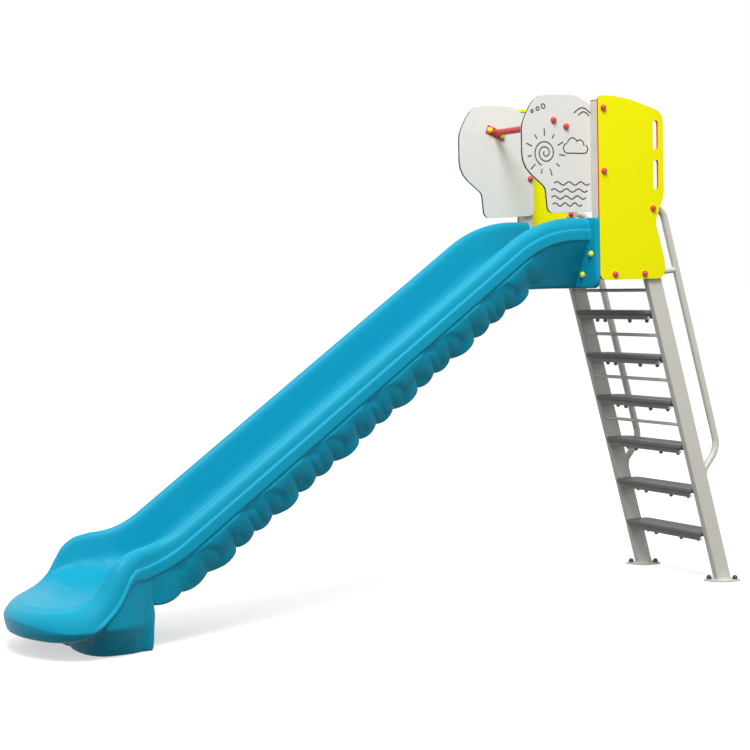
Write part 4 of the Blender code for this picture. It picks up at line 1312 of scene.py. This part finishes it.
def ring_weld(middle: Vector, reach: float, radius: float, steps: int) -> bmesh.types.BMesh:
    """An uneven weld bead round a bar that runs along Y.

    Args:
        middle: The middle of the circle that it follows.
        reach: The circle's radius.
        radius: The bead's own radius.
        steps: Points round the circle.

    Returns:
        A new shape.
    """
    turns = (math.tau * step / steps for step in range(steps))
    path = [middle + Vector((reach * math.cos(turn), 0.0, reach * math.sin(turn)))
            for turn in turns]
    return swept(path, radius, 8, True, 0.10)


def ribbon(path: Sequence[Vector], width: float, y: float, thick: float) -> bmesh.types.BMesh:
    """A flat strip along a path of X and Z, with a thickness along Y.

    Args:
        path: The middle line, as tower X and Z.
        width: Its width.
        y: Y of its back.
        thick: How far its face stands off the back, with the sign of its direction.

    Returns:
        A new shape.
    """
    count = len(path) - 1
    shape = bmesh.new()
    bmesh.ops.create_grid(shape, x_segments=count, y_segments=1, size=0.5)
    for vert in shape.verts:
        index = round((vert.co.x + 0.5) * count)
        ahead = (path[min(index + 1, count)] - path[max(index - 1, 0)]).normalized()
        side = Vector((-ahead.y, ahead.x)) * width * round(vert.co.y * 2.0) / 2
        spot = path[index] + side
        vert.co = at(spot.x, y, spot.y)
    grown = bmesh.ops.extrude_face_region(shape, geom=shape.faces[:])
    moved = [item for item in grown["geom"] if isinstance(item, bmesh.types.BMVert)]
    bmesh.ops.translate(shape, vec=(0.0, thick, 0.0), verts=moved)
    return shape


@dataclass
class Ladder:
    """The ladder: stringers on oval base plates, treads in folded trays, and cross rods."""

    foot_z: float = 0.0083
    head_z: float = 1.5125
    width: float = 0.036
    tube_corner: float = 0.0045
    foot_weld: float = 0.0038
    foot_weld_rise: float = 0.001
    plate_edge: float = 0.0014
    anchor_height: float = 0.84
    anchor_neck: float = 0.94
    anchor_wall: float = 0.40
    treads: int = 6
    board_corners: tuple[float, float] = (0.020, 0.024)
    board_edge: float = 0.0045
    bolts: tuple[tuple[float, float], ...] = ((0.200, 0.050), (0.100, 0.024))
    heads_behind: float = 0.024
    heads_sunk: float = 0.0015
    head: tuple[tuple[float, float], ...] = (
        (0.0, 0.0014), (0.0052, 0.0013), (0.0078, 0.0008), (0.0086, 0.0), (0.0, -0.001))
    nuts_behind: float = 0.010
    nut: tuple[tuple[float, float], ...] = (
        (0.0, 0.0), (0.0040, 0.0), (0.0040, -0.0080), (0.0105, -0.0085), (0.0105, -0.0105),
        (0.0096, -0.0115), (0.0096, -0.0300), (0.0088, -0.0340), (0.0064, -0.0368),
        (0.0034, -0.0384), (0.0, -0.0388))
    sheet: float = 0.003
    fold_edge: float = 0.0009
    tray_tall: float = 0.024
    tray_rake: float = 0.017
    lug_thick: float = 0.005
    lug_past_rake: float = 0.004
    lug_heights: tuple[float, float] = (0.001, 0.015)
    lug_edge: float = 0.0012
    rods: int = 4
    rod_radius: float = 0.008
    rod_weld_reach: float = 0.0088
    rod_weld: float = 0.0018
    rod_weld_in: float = 0.002

    def stringer(self, side: Side) -> None:
        """A leaning rectangular tube with rounded corners, welded to its base plate."""
        outer = side.value * FRAME_HALF
        inner = side.value * (FRAME_HALF - self.width)
        low, high = sorted((outer, inner))
        shape = block(at(0.0, low, self.foot_z), at(STRINGER_DEEP, high, self.head_z),
                      self.tube_corner, 4, "Z")
        for vert in shape.verts:
            vert.co.x += front_x(vert.co.z)
        z = self.foot_z + self.foot_weld_rise
        corners = [at(front_x(z) + reach, y, z) for reach, y in (
            (0.0, low), (STRINGER_DEEP, low), (STRINGER_DEEP, high), (0.0, high))]
        bmesh.ops.remove_doubles(shape, verts=shape.verts, dist=TUBE_MERGE)
        join(shape, weld(corners, self.foot_weld))
        adopt(f"stringer_{side.label}_tube", shape, STEEL, [f"stringer_{side.label}"])

    def base(self, side: Side) -> None:
        """The oval base plate with its edge eased, and the domed nuts on its two anchors."""
        node = f"base_plate_{side.label}"
        adopt(node + "_oval", ease(merged_copy(node), self.plate_edge), STEEL, [node])
        for place in ("front", "rear"):
            nut = f"anchor_nut_{side.label}_{place}"
            low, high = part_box(nut)
            middle = Vector(((low.x + high.x) / 2, (low.y + high.y) / 2, low.z))
            wide = (high.x - low.x) / 2
            tall = (high.z - low.z) * self.anchor_height
            neck, wall = wide * self.anchor_neck, self.anchor_wall
            profile = [(0.0, 0.0), (wide, 0.0), (wide, 0.0016), (wide * 0.99, 0.0024),
                       (wide * 0.96, 0.0026), (neck, tall * wall)]
            profile += [(neck * math.cos(turn * math.pi / 16),
                         tall * (wall + (1.0 - wall) * math.sin(turn * math.pi / 16)))
                        for turn in range(1, 8)]
            adopt(nut + "_dome", spun([*profile, (0.0, tall)], middle), BLACK_CAP, [nut])

    def fasten(self, shape: bmesh.types.BMesh, front: float, height: float,
               profile: Sequence[tuple[float, float]], paint: int) -> None:
        """Put a turned head or nut at each bolt of a tread.

        Args:
            shape: The board or the tray, which they join.
            front: X that the bolts' places are measured back from.
            height: Z of the profile's start.
            profile: Radius and height of each point of the head or nut.
            paint: Its material number.
        """
        for y, behind in self.bolts:
            for sign in (-1.0, 1.0):
                place = Vector((front + behind, sign * y, height))
                join(shape, painted(spun(profile, place, steps=20), paint))

    def tread(self, index: int) -> None:
        """A board with rounded corners, held by bolts with light heads."""
        node = f"tread_{index + 1}"
        low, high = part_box(node)
        shape = crate(low, high)
        upright = [edge for edge in shape.edges
                   if abs(edge.verts[0].co.z - edge.verts[1].co.z) > LEVEL]
        for tail, radius in zip((False, True), self.board_corners):
            chosen = [edge for edge in upright if edge.is_valid
                      and (edge.verts[0].co.x > (low.x + high.x) / 2) == tail]
            bevel(shape, chosen, radius, 8, False)
        rims = [edge for edge in shape.edges
                if abs(edge.verts[0].co.z - edge.verts[1].co.z) < LEVEL]
        bevel(shape, rims, self.board_edge, 4, False)
        self.fasten(shape, low.x + self.heads_behind, high.z - self.heads_sunk, self.head, 1)
        adopt(node + "_board", shape, BOARD, [node], SHARP, [STEEL])

    def tray(self, index: int) -> None:
        """The folded tray under a tread, painted darker as painted shade from the board above, with
        its light lugs and the nuts below it.
        """
        node = f"tread_tray_{index + 1}"
        low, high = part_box(node)
        sheet, half = self.sheet, high.y
        shape = bmesh.new()
        for first, last, floor in ((low.x, high.x, high.z - sheet), (low.x, low.x + sheet, low.z),
                                   (high.x - sheet, high.x, low.z)):
            part = block(Vector((first, -half, floor)), Vector((last, half, high.z)),
                         self.fold_edge, 2, "Y")
            for vert in part.verts:
                drawn_in = self.tray_rake * (high.z - vert.co.z) / self.tray_tall
                vert.co.y = math.copysign(half - drawn_in, vert.co.y)
            join(shape, part)
        bottom, top = (low.z + height for height in self.lug_heights)
        for sign in (-1.0, 1.0):
            for start in (low.x + sheet * 0.5, high.x - sheet * 0.5 - self.lug_thick):
                near, far = sorted((sign * half,
                                    sign * (half - self.tray_rake - self.lug_past_rake)))
                lug = block(Vector((start, near, bottom)),
                            Vector((start + self.lug_thick, far, top)), self.lug_edge)
                join(shape, painted(lug, 1))
        self.fasten(shape, low.x + self.nuts_behind, high.z - sheet, self.nut, 2)
        adopt(node + "_folded", shape, SHADED_TRAY, [node], SHARP, [STEEL, BLACK_CAP])

    def rod(self, index: int) -> None:
        """A thin round bar between the stringers, welded at both ends."""
        node = f"cross_rod_{index + 1}"
        low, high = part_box(node)
        middle = (low + high) / 2
        ends = [Vector((middle.x, y, middle.z)) for y in (low.y, high.y)]
        shape = swept(straight(*ends, 12), self.rod_radius, 24)
        for end, inward in zip(ends, (1.0, -1.0)):
            place = Vector((middle.x, end.y + inward * self.rod_weld_in, middle.z))
            join(shape, ring_weld(place, self.rod_weld_reach, self.rod_weld, 24))
        adopt(node + "_bar", shape, STEEL, [node])

    def build(self) -> None:
        """Everything on the ladder."""
        for side in Side:
            self.stringer(side)
            self.base(side)
        for index in range(self.treads):
            self.tread(index)
            self.tray(index)
        for index in range(self.rods):
            self.rod(index)


@dataclass
class Platform:
    """The platform's frame: posts with plugs, side rails, bearers and the deck."""

    post_corner: float = 0.0050
    cap_tall: float = 0.0036
    cap_edge: float = 0.0014
    tube_corner: float = 0.0035
    rail_longest_plain: float = 0.15
    weld_radii: tuple[float, float] = (0.0026, 0.0022)
    weld_behind: float = 0.0008
    weld_inset: float = 0.003
    deck_edge: float = 0.0018

    def post(self, side: Side) -> None:
        """A square tube post and the plug in its top."""
        node = f"post_{side.label}"
        low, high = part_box(node)
        adopt(node + "_tube", block(low, high, self.post_corner, 4, "Z"), STEEL, [node])
        node = f"post_cap_{side.label}"
        low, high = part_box(node)
        lid = block(Vector((low.x, low.y, high.z - self.cap_tall)), high, self.cap_edge, 3)
        adopt(node + "_plug", lid, BLACK_CAP, [node])

    def rail(self, side: Side) -> None:
        """A side rail with the weld beads that hold it to its post."""
        node = f"side_rail_{side.label}"
        shape = ease(merged_copy(node), self.tube_corner, longer=self.rail_longest_plain)
        low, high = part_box(node)
        outer, inner = (high.y, low.y) if side is Side.FAR else (low.y, high.y)
        x, inset = low.x + self.weld_behind, self.weld_inset
        upright = [Vector((x, inner, low.z + inset)), Vector((x, inner, high.z - inset))]
        level = [Vector((x, inner, low.z)), Vector((x, outer * 0.999, low.z))]
        beads = [weld(line, radius, False)
                 for line, radius in zip((upright, level), self.weld_radii)]
        adopt(node + "_tube", join(shape, *beads), STEEL, [node], SHARP)

    def build(self) -> None:
        """Everything that carries the platform."""
        for side in Side:
            self.post(side)
            self.rail(side)
        for place in ("front", "middle", "rear"):
            node = f"bearer_{place}"
            low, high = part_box(node)
            adopt(node + "_tube", block(low, high, self.tube_corner, 3, "Y"), STEEL, [node])
        adopt("platform_board", ease(merged_copy("platform_deck"), self.deck_edge), BOARD,
              ["platform_deck"])


def polar(x: float, z: float, radius: float, angle: float) -> Vector:
    """A place at a distance and an angle from another, as tower X and Z."""
    return Vector((x + radius * math.cos(angle), z + radius * math.sin(angle)))


@dataclass
class Panels:
    """The sheet panels: plain yellow sides, and white entrance panels with a milled pattern."""

    white_outer: float = 0.2807
    outer_margin: float = 0.001
    white_edge: float = 0.0012
    yellow_edge: float = 0.0016
    skin: float = 0.0003
    groove: float = 0.0062
    groove_fill: float = 1.6
    sun_at: tuple[float, float] = (-0.250, 2.050)
    spiral_radius: float = 0.060
    spiral_turns: float = 2.6
    spiral_turned: float = 0.6
    rays: int = 11
    rays_turned: float = 0.47
    ray_start: float = 0.076
    ray_ends: tuple[float, float] = (0.110, 0.098)
    cloud_at: tuple[float, float] = (-0.082, 2.072)
    cloud_arcs: tuple[tuple[float, ...], ...] = (
        (-0.046, 0.0, 0.022, 95, 270), (-0.018, 0.021, 0.027, 20, 168),
        (0.022, 0.016, 0.023, -8, 130), (0.046, -0.002, 0.020, -90, 60))
    cloud_half: float = 0.046
    cloud_drop: float = 0.022
    waves: tuple[tuple[float, float, float], ...] = (
        (-0.205, -0.008, 1.912), (-0.222, -0.020, 1.880), (-0.220, -0.030, 1.848),
        (-0.214, -0.052, 1.816))
    wave_height: float = 0.0075
    rings: tuple[tuple[float, float, float], ...] = (
        (-0.318, 2.236, 0.006), (-0.288, 2.248, 0.008), (-0.258, 2.260, 0.010))
    hills: tuple[tuple[float, ...], ...] = (
        (-0.090, 0.094, 2.232, 0.026), (-0.066, 0.060, 2.222, 0.018))

    def sun(self) -> list[list[Vector]]:
        """A spiral with long and short rays round it."""
        x, z = self.sun_at
        turn = self.spiral_turns * math.tau
        found = [[polar(x, z, self.spiral_radius * share, turn * share + self.spiral_turned)
                  for share in (0.10 + 0.90 * step / 90 for step in range(91))]]
        for ray in range(self.rays):
            angle = math.tau * ray / self.rays + self.rays_turned
            start, end = self.ray_start, self.ray_ends[ray % 2]
            found.append([polar(x, z, radius, angle) for radius in (start, (start + end) / 2, end)])
        return found

    def cloud(self) -> list[list[Vector]]:
        """Four arcs on a level line."""
        x, z = self.cloud_at
        found = [[polar(x + across, z + up, radius, math.radians(first + (last - first) * step / 16))
                  for step in range(17)]
                 for across, up, radius, first, last in self.cloud_arcs]
        found.append([Vector((x + side, z - self.cloud_drop))
                      for side in (-self.cloud_half, 0.0, self.cloud_half)])
        return found

    def lines(self) -> list[list[Vector]]:
        """The milled pattern's lines, as tower X and Z: a sun, a cloud, waves, rings and hills."""
        found = self.sun() + self.cloud()
        for first, last, height in self.waves:
            found.append([Vector((first + (last - first) * step / 48,
                                  height + self.wave_height * math.sin(step * math.tau / 16)))
                          for step in range(49)])
        for x, z, radius in self.rings:
            found.append([polar(x, z, radius, math.tau * step / 20) for step in range(21)])
        for x, length, z, height in self.hills:
            found.append([Vector((x + length * share, z + height * math.sin(math.pi * share)))
                          for share in (step / 20 for step in range(21))])
        return found

    def white(self, side: Side) -> None:
        """A white panel whose pattern is milled through to the dark core on its outer face."""
        node = f"entry_panel_{side.label}"
        shape = merged_copy(node)
        for vert in shape.verts:
            if abs(vert.co.y) > self.white_outer - self.outer_margin:
                vert.co.y = side.value * (self.white_outer - self.skin)
        ease(shape, self.white_edge, 2)
        back = side.value * (self.white_outer - 2 * self.skin)
        thick = side.value * self.skin * self.groove_fill
        for line in self.lines():
            join(shape, painted(ribbon(line, self.groove, back, thick), 1))
        adopt(node + "_milled", shape, WHITE_SHEET, [node], SHARP, [GROOVE])

    def build(self) -> None:
        """All four panels."""
        for side in Side:
            self.white(side)
            node = f"side_panel_{side.label}"
            shape = ease(merged_copy(node), self.yellow_edge)
            adopt(node + "_sheet", shape, YELLOW_SHEET, [node], SHARP)


@dataclass
class Handrail:
    """A bent tube behind a stringer, with a bolted tab at its top and a stay."""

    y: float = 0.311
    radius: float = 0.01685
    line_x: float = 0.873
    top: float = 1.796
    top_round: float = 0.0435
    low_corner: float = 0.648
    low_round: float = 0.050
    end_z: float = 0.523
    end_line_z: float = 0.551
    end_inside: float = 0.0195
    clear: float = 0.0004
    clear_below: float = 1.2
    stay_z: float = 1.497
    stay_rise: float = 0.012
    stay_radius: float = 0.0135
    tab_x: float = 0.302
    tab_reach: tuple[float, float] = (-0.020, 0.045)
    tab_y: tuple[float, float] = (0.3200, 0.3306)
    tab_half: float = 0.0165
    tab_corner: float = 0.0075
    tab_edge: float = 0.0010
    tube_past_bolt: float = 0.021

    def build(self, side: Side) -> None:
        """The tube, its tab and its stay in one piece."""
        y = side.value * self.y

        def on_line(z: float) -> Vector:
            """The place at a height on the rail's leaning middle line."""
            return at(self.line_x - LEAN * z, y, z)

        end = at(front_x(self.end_line_z) + STRINGER_DEEP - self.end_inside, y, self.end_z)
        corners = [Corner(at(self.tab_x + self.tube_past_bolt, y, self.top), run=8),
                   Corner(on_line(self.top), self.top_round, self.top_round, 12, 10),
                   Corner(on_line(self.low_corner), self.low_round, self.low_round, 14, 3),
                   Corner(end)]
        shape = swept(rounded_path(corners), self.radius, 28)
        behind = STRINGER_DEEP + self.clear
        for vert in shape.verts:
            if vert.co.z < self.clear_below:
                vert.co.x = max(vert.co.x, TOWER_X + front_x(vert.co.z) + behind)
        stay = [at(front_x(self.stay_z) + behind, y, self.stay_z),
                on_line(self.stay_z + self.stay_rise)]
        join(shape, swept(stay, self.stay_radius, 24))
        low, high = sorted(side.value * edge for edge in self.tab_y)
        start, last = (self.tab_x + reach for reach in self.tab_reach)
        tab = block(at(start, low, self.top - self.tab_half), at(last, high, self.top + self.tab_half),
                    self.tab_corner, 5, "Y")
        join(shape, ease(tab, self.tab_edge, 2))
        node = f"handrail_{side.label}"
        adopt(node + "_tube", shape, STEEL, [node], SHARP)


@dataclass
class SafetyBar:
    """The red bar across the entrance, with a tilted plate welded to each end."""

    x: float = -0.1695
    z: float = 2.185
    radius: float = 0.016
    reach: float = 0.2654
    tilt: float = math.radians(21.5)
    plate: tuple[float, float, float] = (0.108, 0.042, 0.004)
    plate_corner: float = 0.0040
    plate_edge: float = 0.0008
    inset: float = 0.002
    weld: float = 0.0026
    weld_in: float = 0.0012
    weld_reach: float = 1.03

    def build(self) -> None:
        """The tube, its plates and their welds in one piece."""
        long, tall, thick = self.plate
        half = self.reach - self.inset
        shape = swept(straight(at(self.x, -half, self.z), at(self.x, half, self.z), 10),
                      self.radius, 36)
        middle = at(self.x, 0.0, self.z)
        for sign in (-1.0, 1.0):
            low, high = sorted((sign * self.reach, sign * (self.reach - thick)))
            part = block(Vector((-long / 2, low, -tall / 2)), Vector((long / 2, high, tall / 2)),
                         self.plate_corner, 4, "Y")
            ease(part, self.plate_edge, 2)
            turn = Matrix.Translation(middle) @ Matrix.Rotation(self.tilt, 4, "Y")
            bmesh.ops.transform(part, matrix=turn, verts=part.verts)
            inner = at(self.x, sign * (self.reach - thick - self.weld_in), self.z)
            join(shape, part, ring_weld(inner, self.radius * self.weld_reach, self.weld, 36))
        adopt("safety_bar_tube", shape, RED_STEEL, ["safety_bar"], SHARP)


@dataclass
class Bolts:
    """Every bolt through a panel or the chute's flange, with a domed cap over its head."""

    radius: float = 0.0148
    height: float = 0.0147
    foot_share: float = 0.24
    neck_share: float = 0.95
    cap_seat: float = 0.0149
    nut_seat: float = 0.0080
    nut_radius: float = 0.0090
    nut_thick: float = 0.0075
    nut_edge: float = 0.0006
    nut_gap: float = 0.0002
    shank_radius: float = 0.0049

    def dome(self) -> list[tuple[float, float]]:
        """A cap's profile: a thin foot and a full dome."""
        foot = self.height * self.foot_share
        curve = [(self.radius * self.neck_share * math.cos(turn * math.pi / 20),
                  foot + (self.height - foot) * math.sin(turn * math.pi / 20)) for turn in range(10)]
        return [(0.0, 0.0), (self.radius, 0.0), (self.radius, foot * 0.55),
                (self.radius * 0.985, foot * 0.8), *curve, (0.0, self.height)]

    def nut(self, place: Vector, toward: Vector) -> bmesh.types.BMesh:
        """A hexagonal nut."""
        shape = bmesh.new()
        bmesh.ops.create_cone(shape, cap_ends=True, segments=6, radius1=self.nut_radius,
                              radius2=self.nut_radius, depth=self.nut_thick)
        ease(shape, self.nut_edge, 2, angle=30.0)
        middle = place + toward * (self.nut_thick / 2 + self.nut_gap)
        bmesh.ops.transform(shape, matrix=aimed(middle, toward), verts=shape.verts)
        return shape

    def bolt(self, node: str, toward: Vector, finish: Finish, domed_back: bool,
             back: Finish | None = None) -> None:
        """One bolt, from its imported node's box.

        Args:
            node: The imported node.
            toward: The direction from its tail to its head.
            finish: What the head's cap is made of.
            domed_back: Whether the tail has a cap too, and not a nut.
            back: What the tail's cap is made of, where it differs.
        """
        low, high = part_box(node)
        middle = (low + high) / 2
        half = abs((high - low).dot(toward)) / 2
        head = middle + toward * (half - self.cap_seat)
        tail = middle - toward * (half - (self.cap_seat if domed_back else self.nut_seat))
        shape = spun(self.dome(), head, toward)
        end = spun(self.dome(), tail, -toward) if domed_back else self.nut(tail, -toward)
        join(shape, painted(end, 1))
        join(shape, painted(swept([head, tail], self.shank_radius, 12), 2))
        adopt(node + "_cap", shape, finish, [node], 50.0,
              [back or finish if domed_back else ZINC, ZINC])

    def build(self) -> None:
        """All the bolts."""
        ahead = Vector((-1.0, 0.0, 0.0))
        for side in Side:
            out = Vector((0.0, side.value, 0.0))
            for place in ("low", "high"):
                self.bolt(f"post_bolt_{side.label}_{place}", out, RED_CAP, True)
                self.bolt(f"chute_bolt_{side.label}_{place}", ahead, YELLOW_CAP, False)
            for place in ("front", "rear"):
                self.bolt(f"rail_bolt_{side.label}_{place}", out, RED_CAP, False)
                self.bolt(f"bar_bolt_{side.label}_{place}", out, RED_CAP, True, YELLOW_CAP)
            self.bolt(f"handrail_bolt_{side.label}", out, RED_CAP, True)


@dataclass
class PhotoCamera:
    """The camera at the photograph's angle, worked out from the slide's own straight lines."""

    width: int = 750
    focal: float = 1759.645
    sensor: float = 36.0
    azimuth: float = math.radians(-28.29)
    pitch: float = math.radians(3.132)
    roll: float = math.radians(-1.251)
    distance: float = 7.918243
    across: float = -1.0016
    height: float = 1.496206

    def build(self) -> None:
        """Make the camera and choose it."""
        level = Vector((math.cos(self.azimuth), math.sin(self.azimuth), 0.0))
        back = Vector((math.sin(self.azimuth) * math.cos(self.pitch),
                       -math.cos(self.azimuth) * math.cos(self.pitch), math.sin(self.pitch)))
        up = back.cross(level)
        right = level * math.cos(self.roll) + up * math.sin(self.roll)
        above = up * math.cos(self.roll) - level * math.sin(self.roll)
        lens = bpy.data.cameras.new("photo_camera")
        lens.sensor_width = self.sensor
        lens.lens = self.focal * self.sensor / self.width
        camera = put("photo_camera", lens)
        turn = Matrix((right, above, back)).transposed().to_4x4()
        turn.translation = Vector((TOWER_X + self.across + math.sin(self.azimuth) * self.distance,
                                   -math.cos(self.azimuth) * self.distance, self.height))
        camera.matrix_world = turn
        bpy.context.scene.camera = camera


@dataclass
class Studio:
    """A plain pale floor, a white surround and soft lamps."""

    floor_size: float = 200.0
    floor_drop: float = 0.0005
    floor_bounce: float = 0.05
    floor_seen: float = 0.60
    floor_glow: float = 0.55
    sky_light: float = 0.80
    aim: tuple[float, float, float] = (0.2, 0.0, 1.0)
    lamp_distance: float = 10.0

    def floor(self) -> None:
        """Lay the floor, which looks white and throws little light up under the slide."""
        shape = bmesh.new()
        bmesh.ops.create_grid(shape, x_segments=1, y_segments=1, size=self.floor_size / 2)
        bmesh.ops.translate(shape, vec=(0.0, 0.0, -self.floor_drop), verts=shape.verts)
        mesh = bpy.data.meshes.new("floor")
        shape.to_mesh(mesh)
        shape.free()
        paint = bpy.data.materials.new("studio_floor")
        graph = Graph(paint)
        seen = graph.seen()
        colour = graph.blend(seen, (self.floor_bounce,) * 3, (self.floor_seen,) * 3)
        graph.surface(Base_Color=colour, Roughness=1.0, Specular_IOR_Level=0.0,
                      Emission_Color=(1.0, 1.0, 1.0), Emission_Strength=seen * self.floor_glow)
        mesh.materials.append(paint)
        ground = put("floor", mesh)

    def surround(self) -> None:
        """Even white light from all round, which is also the background."""
        world = bpy.data.worlds.new("studio")
        graph = Graph(world)
        sky = graph.tree.nodes["Background"]
        graph.feed(sky.inputs["Color"], (1.0, 1.0, 1.0))
        strength = graph.seen() * (1.0 - self.sky_light) + self.sky_light
        graph.feed(sky.inputs["Strength"], strength)
        bpy.context.scene.world = world

    def lamp(self, name: str, toward: Sequence[float], share: float, size: float,
             mirrored: bool = True) -> None:
        """Hang a soft lamp that points at the slide.

        Args:
            name: The lamp's name.
            toward: The direction from the slide to the lamp.
            share: How strongly it lights a face turned to it, where the surround gives 1.
            size: Its width.
            mirrored: Whether it shows as a highlight in glossy faces.
        """
        light = bpy.data.lights.new(name, "AREA")
        light.energy = share * (math.pi * self.lamp_distance) ** 2
        light.size = size
        lamp = put(name, light)
        direction = Vector(toward).normalized()
        lamp.location = Vector(self.aim) + direction * self.lamp_distance
        lamp.visible_glossy = mirrored
        lamp.rotation_euler = direction.to_track_quat("Z", "Y").to_euler()

    def build(self) -> None:
        """Set up everything that isn't the slide."""
        self.floor()
        self.surround()
        self.lamp("key", toward=(-0.30, -0.52, 0.88), share=0.95, size=4.0)
        self.lamp("fill", toward=(0.60, 0.65, 0.45), share=0.12, size=6.0, mirrored=False)
        bpy.context.scene.view_settings.view_transform = "Standard"


def main() -> None:
    """Build the slide and its studio, and report each piece."""
    logging.basicConfig(level=logging.INFO, format="%(message)s")
    PhotoCamera().build()
    Studio().build()
    Chute().build()
    Ladder().build()
    Platform().build()
    Panels().build()
    for side in Side:
        Handrail().build(side)
    SafetyBar().build()
    Bolts().build()


if __name__ == "__main__":
    main()
